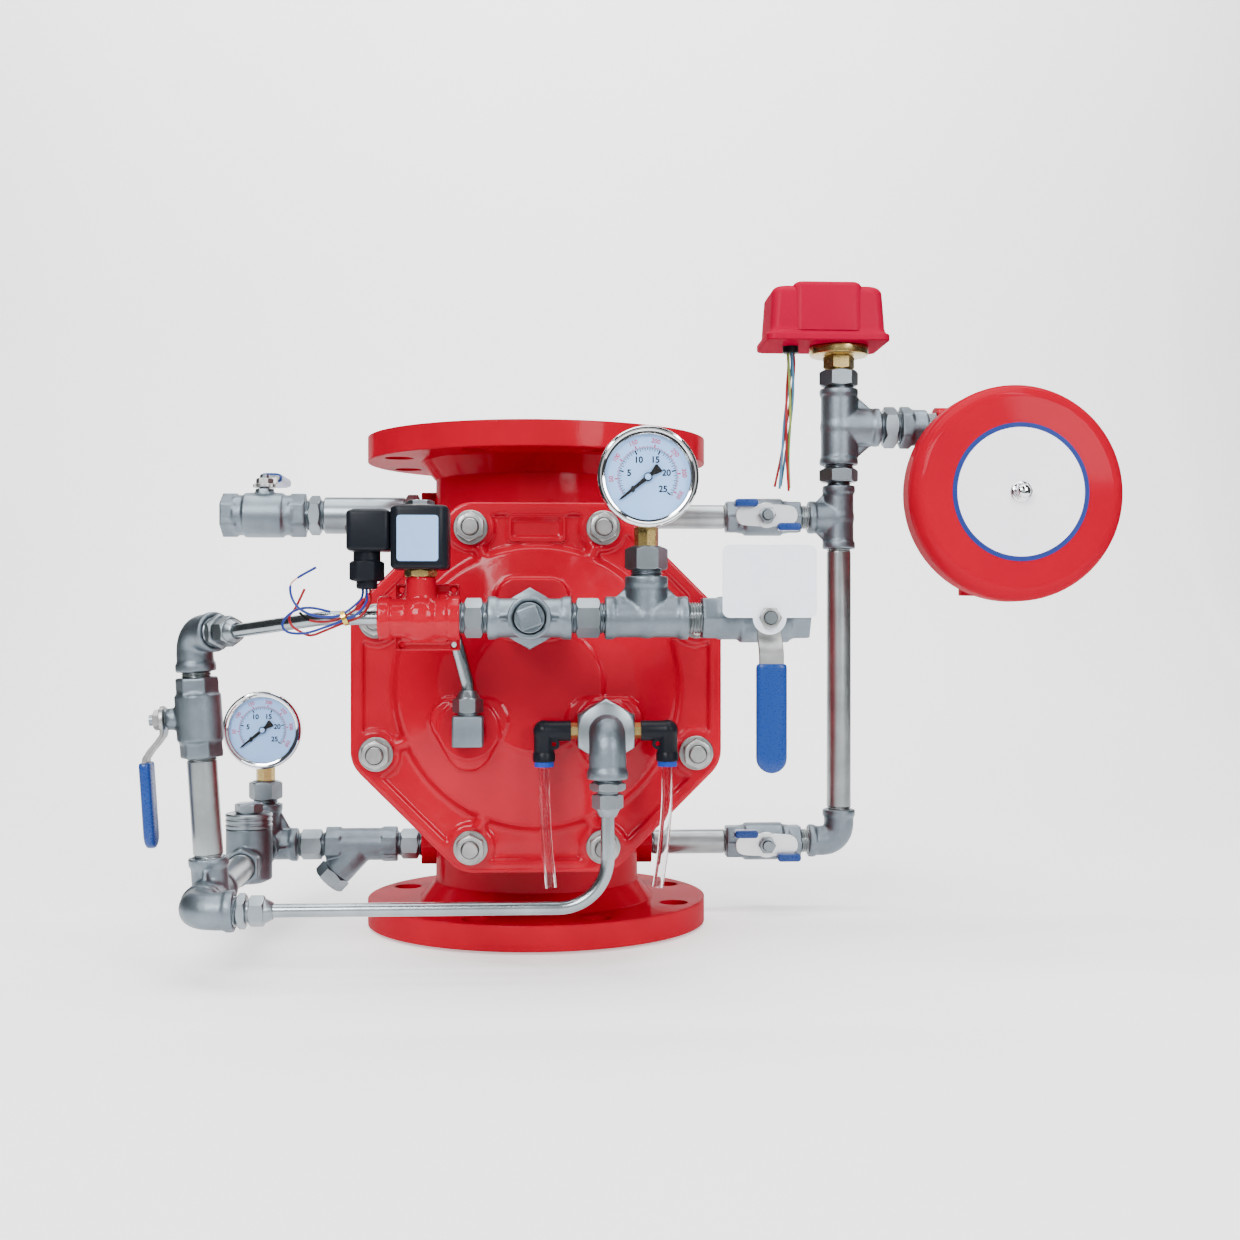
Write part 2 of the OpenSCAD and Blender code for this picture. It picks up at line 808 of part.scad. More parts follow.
module pipe_fittings()
  color("darkgray") {
    translate([cross_x, 0, 0] + line_point)
      fitting([[[1, 0, 0], reach], [[-1, 0, 0], reach], [[0, 1, 0], reach], [[0, -1, 0], reach]],
              pipe_d, pipe_bore);
    translate([gauge_tee_x, 0, 0] + line_point)
      fitting([[[1, 0, 0], reach], [[-1, 0, 0], reach], [[0, 0, 1], reach]], pipe_d, pipe_bore);
    left_frame()
      fitting([[[1, 0, 0], reach], [[0, -1, 0], reach], [[0, 0, 1], tee_tail]], pipe_d, pipe_bore);
    left_frame()
      translate([0, -drip_at, 0])
        rotate([-90, 0, 0])
          elbow(pipe_d, pipe_bore);
    riser_frame() {
      fitting([[[0, 1, 0], reach], [[0, -1, 0], reach], [[0, 0, 1], reach]], pipe_d, pipe_bore);
      translate([0, 0, riser_h])
        rotate([180, 0, -45])
          elbow(pipe_d, pipe_bore);
    }
    translate([right_x, port_y, low_z])
      mirror([1, 0, 0])
        elbow(pipe_d, pipe_bore);
    translate([right_x, port_y, up_z])
      fitting([[[-1, 0, 0], reach], [[0, 0, 1], reach], [[0, 0, -1], reach]], pipe_d, pipe_bore);
    translate([right_x, port_y, gong_tee_z])
      fitting([[[1, 0, 0], branch_reach], [[0, 0, 1], big_reach], [[0, 0, -1], big_reach]],
              big_pipe_d, big_bore);
    translate([low_boss_x, -drip_y, low_boss_z])
      rotate([180, 0, 90])
        street_elbow();
    translate([coupling_x, port_y, gong_tee_z])
      rotate([0, 90, 0])
        difference() {
          union() {
            cylinder(d = 33 / cos(30), h = 10, $fn = 6);
            cylinder(d = 32, h = coupling_l);
          }
          translate([0, 0, -1])
            cylinder(d = big_bore, h = coupling_l + 2);
          for (z = [-1, coupling_l - thread_in])
            translate([0, 0, z])
              cylinder(d = big_socket_d, h = thread_in + 1);
        }
  }

// Male leg along +X into the drip block, socket along +Z
module street_elbow() {
  turn_r = 14;
  male = drip_y - drip_front + thread_in;
  difference() {
    union() {
      translate([turn_r, 0, turn_r])
        rotate([90, 0, 0])
          rotate([0, 0, 180])
            rotate_extrude(angle = 90)
              translate([turn_r, 0])
                circle(d = pipe_d + 2 * fit_wall - 0.4);
      rod([0, 0, 0], [1, 0, 0], pipe_d, male);
      rod([0, 0, turn_r - 0.5], [0, 0, 1], pipe_d + 2 * fit_wall, street_reach - turn_r);
      rod([0, 0, street_reach - bead_w], [0, 0, 1], pipe_d + 2 * (fit_wall + bead), bead_w);
    }
    rod([0, 0, 0], [1, 0, 0], pipe_bore, male + 1);
    rod([0, 0, 0], [0, 0, 1], pipe_bore, street_reach);
    rod([0, 0, street_reach - thread_in], [0, 0, 1], socket_d, thread_in + 1);
  }
}

// Bushing behind the cross, front plug, gauge adapters and reducing bushings
module hex_bushings()
  color("silver") {
    bush_gap = front_y - reach - boss_top;
    difference() {
      union() {
        rod([cross_x, -boss_top + thread_in, front_z], [0, -1, 0], pipe_d, bush_gap + 2 * thread_in);
        hexbar([cross_x, -boss_top - 2, front_z], [0, -1, 0], 32, 20, 90);
      }
      rod([cross_x, 0, front_z], [0, -1, 0], pipe_bore, front_y);
    }
    rod([cross_x, -front_y - reach + thread_in, front_z], [0, -1, 0], pipe_d, thread_in + 1);
    translate([cross_x, -front_y - reach - 5, front_z])
      rotate([0, 6, 0])
        cube([14, 12, 14], center = true);
    gauge_adapter([gauge_tee_x, 0, reach] + line_point);
    left_frame()
      gauge_adapter([0, 0, tee_tail]);
    translate([right_x, port_y, gong_tee_z + big_reach])
      difference() {
        union() {
          translate([0, 0, -thread_in])
            cylinder(d = big_pipe_d, h = thread_in + 3);
          translate([0, 0, 2])
            cylinder(d = 30 / cos(30), h = 14, $fn = 6);
        }
        translate([0, 0, -thread_in - 1])
          cylinder(d = pipe_bore, h = 40);
        translate([0, 0, 16 - thread_in])
          cylinder(d = socket_d, h = 40);
      }
    difference() {
      union() {
        rod([-port_x + thread_in, port_y, up_z], [-1, 0, 0], big_pipe_d, thread_in + 3);
        hexbar([-port_x - 2, port_y, up_z], [-1, 0, 0], 32, 12);
        rod([-port_x - 10, port_y, up_z], [-1, 0, 0], 32, -port_x - 10 - drain_left - drain_gap);
      }
      rod([0, port_y, up_z], [-1, 0, 0], big_bore, -drain_x);
      rod([drain_left + drain_gap + thread_in, port_y, up_z], [-1, 0, 0], big_socket_d, 40);
    }
  }

adapter_l = 20;
adapter_bore = 13;
module gauge_adapter(p)
  translate(p)
    difference() {
      union() {
        translate([0, 0, -thread_in])
          cylinder(d = pipe_d, h = thread_in + 5);
        translate([0, 0, 4])
          cylinder(d = 25 / cos(30), h = adapter_l - 4, $fn = 6);
      }
      translate([0, 0, -thread_in - 1])
        cylinder(d = 8, h = 60);
      translate([0, 0, adapter_l - 10])
        cylinder(d = adapter_bore + 2 * thread_gap, h = 20);
    }

riser_out = [cos(45), -sin(45), 0];
riser_top = [0, 0, riser_h];
module tube_fittings()
  color("silver") {
    left_frame()
      connector([reach, -drip_at, 0], [1, 0, 0]);
    riser_frame()
      connector(riser_top + reach * riser_out, riser_out);
    connector([low_boss_x, -drip_y, low_boss_z - street_reach], [0, 0, -1]);
    translate([-low_boss_x, -boss_top - block_w / 2, low_boss_z])
      difference() {
        union() {
          cube(block_w, center = true);
          translate([0, 0, block_w / 2])
            cylinder(d = 15, h = conn_neck);
          rod([0, 0, 0], [0, 1, 0], pipe_d, block_w / 2 + thread_in);
        }
        rod([0, 0, 0], [0, 1, 0], 8, 40);
        cylinder(d = 6.5, h = 40);
        translate([0, 0, block_w / 2 - 4])
          cylinder(d = tube_d + 2 * thread_gap, h = 40);
      }
  }

module tube_nuts()
  color("gainsboro") {
    left_frame()
      tube_nut([reach, -drip_at, 0], [1, 0, 0]);
    riser_frame()
      tube_nut(riser_top + reach * riser_out, riser_out);
    tube_nut([low_boss_x, -drip_y, low_boss_z - street_reach], [0, 0, -1]);
    tube_nut([-low_boss_x, -boss_top - block_w / 2, low_boss_z + block_w / 2 - conn_hex], [0, 0, 1]);
  }

plate_size = [43, 6, 45];
plate_back = front_y - 21;
plate_x = solenoid_x + 10;
plate_z = front_z - 22;
plate_port = [plate_x + 35, -plate_back - 4, front_z - 5];
module pilot_tubes()
  color("silver") {
    start = riser_point(riser_top + (reach + conn_seat) * riser_out);
    port = [solenoid_x + 8, -front_y, front_z];
    hollow_path([start, start + 20 * riser_dir(riser_out), port - [42, 0, 0], port]);
    hollow_path([
      left_point([reach + conn_seat, -drip_at, 0]),
      [low_boss_x, -drip_y, drip_z],
      [low_boss_x, -drip_y, low_boss_z - street_reach - conn_seat]
    ]);
    foot = [-low_boss_x, -boss_top - block_w / 2, low_boss_z + block_w / 2 - 4];
    hollow_path([foot, foot + [0, 0, 26], [plate_port[0], -boss_top - block_w / 2 - 4, plate_port[2]],
                 plate_port], 18);
  }

module hollow_path(points, r = tube_bend_r)
  difference() {
    tube_path(points, r, tube_d);
    tube_path(points, r, tube_d - 2);
  }

// Drip block with a push-in elbow on each side
stem_af = 10;
stem_l = 5;
elbow_x = 44;
push_d = 14.5;
push_y = boss_top + drip_block_l / 2;
push_drop = 22;
collet_l = 3.5;
module drip_block()
  color("silver")
    difference() {
      union() {
        hexbar([low_boss_x, -boss_top, low_boss_z], [0, -1, 0], drip_af, drip_block_l);
        rod([low_boss_x, -boss_top + thread_in, low_boss_z], [0, -1, 0], pipe_d, thread_in + 1);
      }
      rod([low_boss_x, -boss_top + thread_in + 1, low_boss_z], [0, -1, 0], pipe_bore - 3, 60);
      rod([low_boss_x, -drip_front + thread_in, low_boss_z], [0, -1, 0], socket_d, thread_in + 1);
      for (x = [-1, 1])
        rod([low_boss_x + x * (drip_af / 2 - 6), -push_y, low_boss_z], [x, 0, 0], 8.1, 10);
    }

module push_in_stems()
  color("goldenrod")
    for (x = [-1, 1])
      translate([low_boss_x, -push_y, low_boss_z])
        difference() {
          union() {
            rod([x * (drip_af / 2 - 6), 0, 0], [x, 0, 0], 8, stem_l + 12);
            hexbar([x * drip_af / 2, 0, 0], [x, 0, 0], stem_af, stem_l);
          }
          rod([0, 0, 0], [x, 0, 0], 4, 60);
        }

module push_in_elbows()
  for (x = [-1, 1])
    translate([low_boss_x + x * elbow_x, -push_y, low_boss_z]) {
      color("black")
        difference() {
          union() {
            sphere(d = push_d + 1);
            rod([0, 0, 0], [-x, 0, 0], push_d, elbow_x - drip_af / 2 - stem_l);
            rod([0, 0, 0], [0, 0, -1], push_d, push_drop);
            rod([-x * 7, -push_d / 2 + 3, -push_d / 2 - 2], [0, 1, 0], 8, 6);
          }
          rod([-x * 7, -20, -push_d / 2 - 2], [0, 1, 0], 3.6, 40);
          rod([0, 0, 0], [-x, 0, 0], 4, 40);
          rod([-x * (elbow_x - drip_af / 2 - stem_l - 6.1), 0, 0], [-x, 0, 0], 8.1, 10);
          rod([0, 0, 0], [0, 0, -1], 4, 40);
          rod([0, 0, -8], [0, 0, -1], drip_tube_d + 0.2, 40);
        }
      color("royalblue")
        translate([0, 0, -push_drop - collet_l])
          difference() {
            cylinder(d = push_d - 0.5, h = collet_l);
            translate([0, 0, -1])
              cylinder(d = drip_tube_d + 0.2, h = collet_l + 2);
          }
    }

// Free flexible pieces: each is one tube swept along points chosen by hand
function dir_at(p, i) = unit(p[min(i + 1, len(p) - 1)] - p[max(i - 1, 0)]);
function side_of(t) = unit(cross(t, abs(t[1]) < 0.9 ? [0, 1, 0] : [1, 0, 0]));
function ring(c, t, r, sides) =
  let (u = side_of(t), w = cross(t, u))
    [for (k = [0:sides - 1]) c + r * (cos(360 * k / sides) * u + sin(360 * k / sides) * w)];

module swept(points, d, sides) {
  n = len(points);
  pts = [for (i = [0:n - 1]) each ring(points[i], dir_at(points, i), d / 2, sides)];
  faces = concat(
    [[for (k = [0:sides - 1]) k]],
    [for (i = [0:n - 2], k = [0:sides - 1])
      let (m = (k + 1) % sides)
        [i * sides + k, (i + 1) * sides + k, (i + 1) * sides + m, i * sides + m]],
    [[for (k = [sides - 1:-1:0]) (n - 1) * sides + k]]
  );
  polyhedron(pts, faces);
}

drip_routes = [
  [[0, 0, 0], [0, 0, -14], [0.5, 0, -30], [1.5, -0.5, -48], [3, -1.5, -66], [5, -2.5, -86]],
  [[0, 0, 0], [0, 0, -14], [-0.5, 0, -30], [-2, -0.5, -48], [-4, -1.5, -66], [-7, -2.5, -86]]
];
module drip_tubes()
  color("lavender")
    for (i = [0, 1])
      translate([low_boss_x + (2 * i - 1) * elbow_x, -push_y, low_boss_z - push_drop - collet_l])
        swept(drip_routes[i], drip_tube_d, 12);

lead_d = 2.2;
lead_from = [switch_x - 28, port_y, switch_z - 6];
switch_routes = [
  [[2.8, 0, 0], [3.3, 0, -12], [1.6, 2.6, -34], [-2.8, 3.5, -60], [-7.8, 3, -90], [-14, 1.2, -118]],
  [[0.9, 2.7, 0], [1.4, 2.7, -12], [-1.9, 3.2, -34], [-5.4, 1.2, -60], [-7.7, -1, -90],
   [-10.3, -3.2, -120]],
  [[-2.3, 1.6, 0], [-1.8, 1.6, -12], [-3.5, 0, -34], [-4, -2.1, -60], [-3.9, -2.2, -90], [-2, -2.5, -122]],
  [[-2.3, -1.6, 0], [-1.8, -1.6, -12], [-1, -2.5, -34], [-0.5, -1.8, -60], [-1.6, 1.1, -90],
   [-0.7, 2.3, -119]],
  [[0.9, -2.7, 0], [1.4, -2.7, -12], [2.2, -0.9, -34], [0.3, 1.7, -60], [-4, 4.3, -90], [-8, 4.7, -117]]
];
module switch_leads()
  color("firebrick")
    translate(lead_from)
      for (route = switch_routes)
        swept(route, lead_d, 8);

gland_z = front_z + 19;
coil_x = solenoid_x + 28;
coil_lead_d = 1.7;
coil_lead_from = [coil_x - 36, -front_y, gland_z];
coil_routes = [
  [
    [0.5, -2.4, 0], [0.5, -2.4, -3], [1, -7, -8], [-4, -11, -16], [-13, -11.5, -20.5], [-25, -11.5, -25],
    [-38, -11.5, -29], [-49, -11.5, -28.5], [-53, -11.5, -24], [-50, -11.5, -18], [-43, -11.5, -13.5],
    [-34, -11.5, -12.5], [-22, -11, -15]
  ],
  [
    [-2.2, -0.3, 0], [-2.2, -0.3, -3], [-4, -5, -8], [-14, -11.5, -16.5], [-23, -13.5, -18.5],
    [-34, -14.5, -17], [-42, -14.5, -12.5], [-46.5, -14, -6], [-47.5, -13.5, 2], [-43, -13.5, 7],
    [-31, -13, 14]
  ],
  [
    [0, 2.2, 0], [0, 2.2, -3], [-2, -3, -9], [-13, -8.2, -18], [-25, -8.5, -21.5], [-36, -9, -20.5],
    [-42.5, -8.5, -15.5]
  ],
  [
    [2.6, 0.3, 0], [2.6, 0.3, -3], [3, -4, -9], [-3, -7.8, -18], [-13, -8.3, -22], [-25, -8.3, -27],
    [-35, -8.3, -30.5], [-42, -8.2, -28], [-47.5, -8.2, -24], [-49, -8.2, -18], [-45, -8.5, -12.5],
    [-39, -9, 0]
  ]
];
module solenoid_leads()
  color("royalblue")
    translate(coil_lead_from)
      for (route = coil_routes)
        swept(route, coil_lead_d, 8);

// Twisted band round the four coil leads
tie_d = 10;
tie_w = 3;
module wire_tie()
  color("goldenrod")
    aim(coil_lead_from + [-13, -9.9, -19.2], [-0.92, 0, -0.38])
      difference() {
        cylinder(d = tie_d, h = tie_w, center = true);
        cylinder(d = tie_d - 1.3, h = tie_w + 1, center = true);
      }

// Solenoid valve
coil_w = 38;
coil_z = front_z + 32;
coil_h = 42;
core_d = 13;
core_bore = 9.2;
module solenoid_body()
  color("red")
    difference() {
      union() {
        rod([solenoid_x, -front_y, front_z], [1, 0, 0], 26, solenoid_l);
        rod([solenoid_x, -front_y, front_z], [1, 0, 0], 29, 8);
        rod([solenoid_x + solenoid_l - 8, -front_y, front_z], [1, 0, 0], 29, 8);
        translate([coil_x, -front_y, front_z])
          sphere(d = 33);
        translate([coil_x, -front_y, front_z])
          cylinder(d = 20, h = coil_z - 5 - front_z);
        translate([plate_x, -plate_back - plate_size[1], plate_z])
          cube(plate_size);
        translate([plate_x + 5, -front_y + 4, plate_z + 6])
          cube([30, front_y - plate_back - 9, 32]);
      }
      rod([solenoid_x + 8, -front_y, front_z], [1, 0, 0], 8, solenoid_l);
      rod([solenoid_x - 1, -front_y, front_z], [1, 0, 0], tube_d + 2 * thread_gap, 9);
      rod([solenoid_x + solenoid_l - thread_in, -front_y, front_z], [1, 0, 0], socket_d, thread_in + 1);
      translate([coil_x, -front_y, front_z])
        cylinder(d = 8, h = 40);
      translate([coil_x, -front_y, coil_z - 17])
        cylinder(d = core_d + 0.1, h = 40);
      for (x = [4, plate_size[0] - 4], z = [4, plate_size[2] - 4])
        rod([plate_x + x, -plate_back + 1, plate_z + z], [0, -1, 0], 4, 8);
      rod(plate_port, [0, 1, 0], tube_d + 0.1, 10);
    }

module core_tube()
  color("goldenrod")
    difference() {
      union() {
        translate([coil_x, -front_y, coil_z - 17])
          cylinder(d = core_d, h = coil_h + 17);
        translate([coil_x, -front_y, coil_z - 5])
          cylinder(d = 19 / cos(30), h = 5, $fn = 6);
        translate([coil_x, -front_y, coil_z + coil_h])
          cylinder(d = 16 / cos(30), h = 4, $fn = 6);
      }
      translate([coil_x, -front_y, coil_z - 18])
        cylinder(d = core_bore, h = coil_h + 6);
    }

module solenoid_plunger()
  color("gray")
    translate([coil_x, -front_y, coil_z - 14])
      cylinder(d = core_bore - 2 * run_gap, h = coil_h - 4);

module solenoid_coil()
  color("black")
    difference() {
      translate([coil_x - coil_w / 2, -front_y - coil_w / 2, coil_z])
        cube([coil_w, coil_w, coil_h]);
      translate([coil_x, -front_y, coil_z - 1])
        cylinder(d = core_d + 0.2, h = coil_h + 2);
    }

connector_w = 29;
module coil_connector()
  color("dimgray") {
    x1 = coil_x - coil_w / 2;
    translate([x1 - connector_w, -front_y - 14, gland_z + 25])
      cube([connector_w, 28, 27]);
    translate([x1 - connector_w + 12.5, -front_y, 0]) {
      translate([0, 0, gland_z + 19])
        cylinder(d = 17, h = 6);
      translate([0, 0, gland_z + 5])
        cylinder(d = 20 / cos(30), h = 14, $fn = 6);
      translate([0, 0, gland_z])
        cylinder(d = 14, h = 5);
    }
  }

// Pressure gauges, local Z up with the centre of the dial at the origin
gauge_back = 8;
bezel_t = 1.2;
lens_t = 1.5;
lip_y = gauge_back - gauge_depth + bezel_t;
lens_y = lip_y + lens_t;
dial_y = lens_y + 4;
cup_wall = 2.5;
needle_zero = 219;
needle_hub = 6;
shaft_d = 2.4;
module at_gauges() {
  translate([gauge_tee_x, 0, reach + gauge_rise] + line_point)
    children();
  left_frame()
    translate([0, 0, tee_tail + gauge_rise])
      children();
}

module disc_y(y0, y1, d)
  rod([0, y0, 0], [0, -1, 0], d, y0 - y1);

module gauge_cases()
  color("silver")
    at_gauges()
      difference() {
        union() {
          disc_y(gauge_back, dial_y, gauge_d - 3);
          disc_y(dial_y, lip_y - bezel_t, gauge_d);
        }
        disc_y(gauge_back - cup_wall, dial_y, gauge_d - 3 - 2 * cup_wall);
        disc_y(dial_y + 0.01, lip_y, gauge_d - 2 * cup_wall);
        disc_y(0, lip_y - 5, gauge_d - 2 * cup_wall - 3);
        translate([0, 0, -gauge_d])
          cylinder(d = 12.1, h = gauge_d - 20);
      }

module gauge_dials()
  color("white")
    at_gauges()
      difference() {
        disc_y(dial_y, dial_y - 1, gauge_d - 2 * cup_wall - 0.2);
        disc_y(0, -30, shaft_d + 0.6);
      }

module gauge_lenses()
  color("lightcyan", 0.3)
    at_gauges()
      disc_y(lens_y, lip_y, gauge_d - 2 * cup_wall - 0.2);

module gauge_stems()
  color("goldenrod")
    at_gauges()
      difference() {
        union() {
          translate([0, 0, -gauge_rise + adapter_l])
            cylinder(d = 15 / cos(22.5), h = gauge_rise - adapter_l - gauge_d / 2 + 1, $fn = 8);
          translate([0, 0, -gauge_rise + adapter_l - 10])
            cylinder(d = adapter_bore, h = 12);
          translate([0, 0, -gauge_d / 2 - 1])
            cylinder(d = 12, h = 10);
          translate([-8, -5, -gauge_d / 2 + 6])
            cube([16, 9, gauge_d / 2 - 1]);
        }
        translate([0, 0, -gauge_rise])
          cylinder(d = 5, h = gauge_rise - 12);
        disc_y(0, -20, shaft_d + 2 * run_gap);
      }

module needle()
  color("black")
    rotate([0, -needle_zero, 0]) {
      disc_y(-1, dial_y - 4, shaft_d);
      disc_y(dial_y - 1.3, dial_y - 3.6, needle_hub);
      translate([0, dial_y - 2.5, 0])
        rotate([90, 0, 0])
          linear_extrude(0.8)
            polygon([[-10, 3], [-6, 1.5], [0, 1.5], [25, 0.4], [25, -0.4], [0, -1.5], [-6, -1.5], [-10, -3]]);
    }

module front_needle()
  translate([gauge_tee_x, 0, reach + gauge_rise] + line_point)
    needle();

module left_needle()
  left_frame()
    translate([0, 0, tee_tail + gauge_rise])
      needle();

// Ball valves: waterway along X, stem along +Z, origin at the ball
module valve_shell(left, right, d, od, af)
  difference() {
    union() {
      rod([-left + hex_l - 2, 0, 0], [1, 0, 0], d - 4, left + right - 2 * hex_l + 4);
      rod([-chamber_x - 3, 0, 0], [1, 0, 0], d, 2 * chamber_x + 6);
      hexbar([-left, 0, 0], [1, 0, 0], af, hex_l);
      hexbar([right - hex_l, 0, 0], [1, 0, 0], af, hex_l);
      cylinder(d = stem_d + 8, h = neck_h - 4);
      translate([0, 0, neck_h - 6])
        cylinder(d = (stem_d + 6) / cos(30), h = 5, $fn = 6);
    }
    rod([-left - 1, 0, 0], [1, 0, 0], ball_bore, left + right + 2);
    rod([-chamber_x, 0, 0], [1, 0, 0], ball_d + 1, 2 * chamber_x);
    rod([-left - 1, 0, 0], [1, 0, 0], od + 2 * thread_gap, thread_in + 1);
    rod([right - thread_in, 0, 0], [1, 0, 0], od + 2 * thread_gap, thread_in + 1);
    cylinder(d = stem_d + 2 * run_gap, h = neck_h + 1);
  }

module valve_ball() {
  slot_z = ball_d / 2 - 3;
  difference() {
    sphere(d = ball_d);
    rod([-ball_d, 0, 0], [1, 0, 0], ball_bore, 2 * ball_d);
    translate([-5, -2, slot_z])
      cube([10, 4, 10]);
  }
  translate([-3.5, -1.9, slot_z + 0.2])
    cube([7, 3.8, 4]);
  translate([0, 0, ball_d / 2 + 0.2])
    cylinder(d = stem_d, h = neck_h + 11 - ball_d / 2);
}

module valve_seats()
  for (s = [-1, 1])
    rotate([0, 90 * s, 0])
      rotate_extrude()
        difference() {
          translate([(ball_bore + 1) / 2, chamber_x - 9])
            square([(ball_d - ball_bore) / 2 - 0.05, 9]);
          circle(d = ball_d + 0.1);
        }

strip_t = 3;
sign_t = 1;
stem_nut_af = 13;
stem_nut_h = 5;
module all_valves() {
  manual_at()
    children(0);
  left_valve_at()
    children(0);
  drain_at()
    children(0);
  for (z = [low_z, up_z])
    right_valve_at(z)
      children(0);
}

module lever_valve_bodies()
  color("silver") {
    manual_at()
      valve_shell(manual_left, manual_right, valve_d, pipe_d, 27);
    left_valve_at()
      valve_shell(left_half, left_half, valve_d, pipe_d, 27);
    drain_at()
      valve_shell(drain_half, drain_half, valve_d + 6, big_pipe_d, 33);
  }

module wing_valve_bodies()
  color("silver")
    for (z = [low_z, up_z])
      right_valve_at(z)
        valve_shell(valve_half, valve_half, valve_d, pipe_d, 27);

module ball_seats()
  color("white")
    all_valves()
      valve_seats();

// Nut on top of a handle, with seat as the room below it
module stem_nut(seat)
  color("silver")
    translate([0, 0, neck_h + strip_t + seat])
      difference() {
        cylinder(d = stem_nut_af / cos(30), h = stem_nut_h, $fn = 6);
        translate([0, 0, -1])
          cylinder(d = stem_d + 2 * thread_gap, h = stem_nut_h + 2);
      }

// Lever along +X: steel strip, stem nut and dipped grip as separate solids
lever_w = 16;
grip_w = 20;
grip_t = 9;
grip_x = 30;
grip_end = 8;
foot_l = 12;
module lever(l, rise, seat) {
  grip_gap = (grip_t - strip_t) / 2;
  color("silver")
    difference() {
      union() {
        translate([0, lever_w / 2, neck_h])
          rotate([90, 0, 0])
            linear_extrude(lever_w)
              polygon([
                [0, 0], [foot_l, 0], [foot_l + rise, rise], [l - grip_end, rise],
                [l - grip_end, rise + strip_t], [foot_l - 1 + rise, rise + strip_t],
                [foot_l - 1, strip_t], [0, strip_t]
              ]);
        translate([0, 0, neck_h])
          cylinder(d = 20, h = strip_t);
      }
      cylinder(d = stem_d + 0.1, h = 60);
    }
  stem_nut(seat);
  color("royalblue")
    translate([grip_x, 0, neck_h + rise - grip_gap])
      difference() {
        linear_extrude(grip_t)
          union() {
            translate([0, -grip_w / 2])
              square([l - grip_x - grip_w / 2, grip_w]);
            translate([l - grip_x - grip_w / 2, 0])
              circle(d = grip_w);
          }
        translate([-1, -lever_w / 2 - 0.1, grip_gap - 0.1])
          cube([l - grip_end - grip_x + 1.1, lever_w + 0.2, strip_t + 0.2]);
      }
}

module manual_lever()
  manual_at()
    rotate([0, 0, -90])
      lever(101, 10, sign_t);

module left_lever()
  left_valve_at()
    rotate([0, 0, 180])
      lever(92, 14, thread_gap);

module drain_lever()
  drain_at()
    rotate([0, 0, 90])
      lever(92, 10, thread_gap);

module manual_ball() color("gainsboro") manual_at() valve_ball();
module left_ball() color("gainsboro") left_valve_at() valve_ball();
module drain_ball() color("gainsboro") drain_at() valve_ball();
module upper_wing_ball() color("gainsboro") right_valve_at(up_z) valve_ball();
module lower_wing_ball() color("gainsboro") right_valve_at(low_z) valve_ball();

module sign_plate()
  color("white")
    manual_at()
      translate([0, 0, neck_h + strip_t])
        linear_extrude(sign_t)
          difference() {
            union() {
              translate([-31, 4])
                square([62, 41]);
              translate([-27, 0])
                square([54, 48]);
              circle(d = 22);
            }
            circle(d = stem_d + 0.1);
          }

// Butterfly handle: plate, stem nut and the two dipped tips as separate solids
wing_tip = 27;
wing_dip = 11;
module wing_plate_2d()
  difference() {
    union() {
      circle(d = 22);
      polygon([
        [-wing_tip, 11], [-wing_tip, 2], [-8, -9], [wing_tip, -11], [wing_tip, -2], [8, 9]
      ]);
    }
    circle(d = stem_d + 2 * thread_gap);
  }

module wing() {
  color("gainsboro")
    translate([0, 0, neck_h])
      linear_extrude(strip_t)
        wing_plate_2d();
  stem_nut(thread_gap);
  color("royalblue")
    for (a = [0, 180])
      rotate([0, 0, a])
        translate([0, 0, neck_h - 1.5])
          difference() {
            linear_extrude(strip_t + 3)
              offset(delta = 1.5)
                intersection() {
                  wing_plate_2d();
                  translate([wing_dip + 1.5, -20])
                    square([30, 40]);
                }
            translate([0, 0, 1.4])
              linear_extrude(strip_t + 0.2)
                offset(delta = 0.1)
                  wing_plate_2d();
          }
}
module upper_wing() right_valve_at(up_z) wing();
module lower_wing() right_valve_at(low_z) wing();

// Strainer and check valve
leg_dir = unit([-26, 0, -28]);
leg_l = 32;
leg_bore = 18;
screen_d = 14;
cap_l = 12;
module strainer_body()
  color("darkgray")
    translate([strainer_x, port_y, low_z])
      difference() {
        union() {
          rod([-strainer_half + 4, 0, 0], [1, 0, 0], 28, 2 * strainer_half - 8);
          hexbar([-strainer_half, 0, 0], [1, 0, 0], 27, hex_l);
          hexbar([strainer_half - hex_l, 0, 0], [1, 0, 0], 27, hex_l);
          rod([0, 0, 0], leg_dir, 27, leg_l);
        }
        rod([-strainer_half - 1, 0, 0], [1, 0, 0], pipe_bore, 100);
        rod([-strainer_half - 1, 0, 0], [1, 0, 0], socket_d, thread_in + 1);
        rod([strainer_half - thread_in, 0, 0], [1, 0, 0], socket_d, thread_in + 1);
        rod([0, 0, 0], leg_dir, leg_bore, leg_l + 1);
      }

module strainer_cap()
  color("silver")
    translate([strainer_x, port_y, low_z]) {
      hexbar(leg_l * leg_dir, leg_dir, 26, cap_l);
      rod((leg_l - 6) * leg_dir, leg_dir, leg_bore - 2 * thread_gap, 7);
    }

module strainer_screen()
  color("gray")
    translate([strainer_x, port_y, low_z])
      difference() {
        rod(2 * leg_dir, leg_dir, screen_d, leg_l - 8);
        rod(leg_dir, leg_dir, screen_d - 2, leg_l);
      }

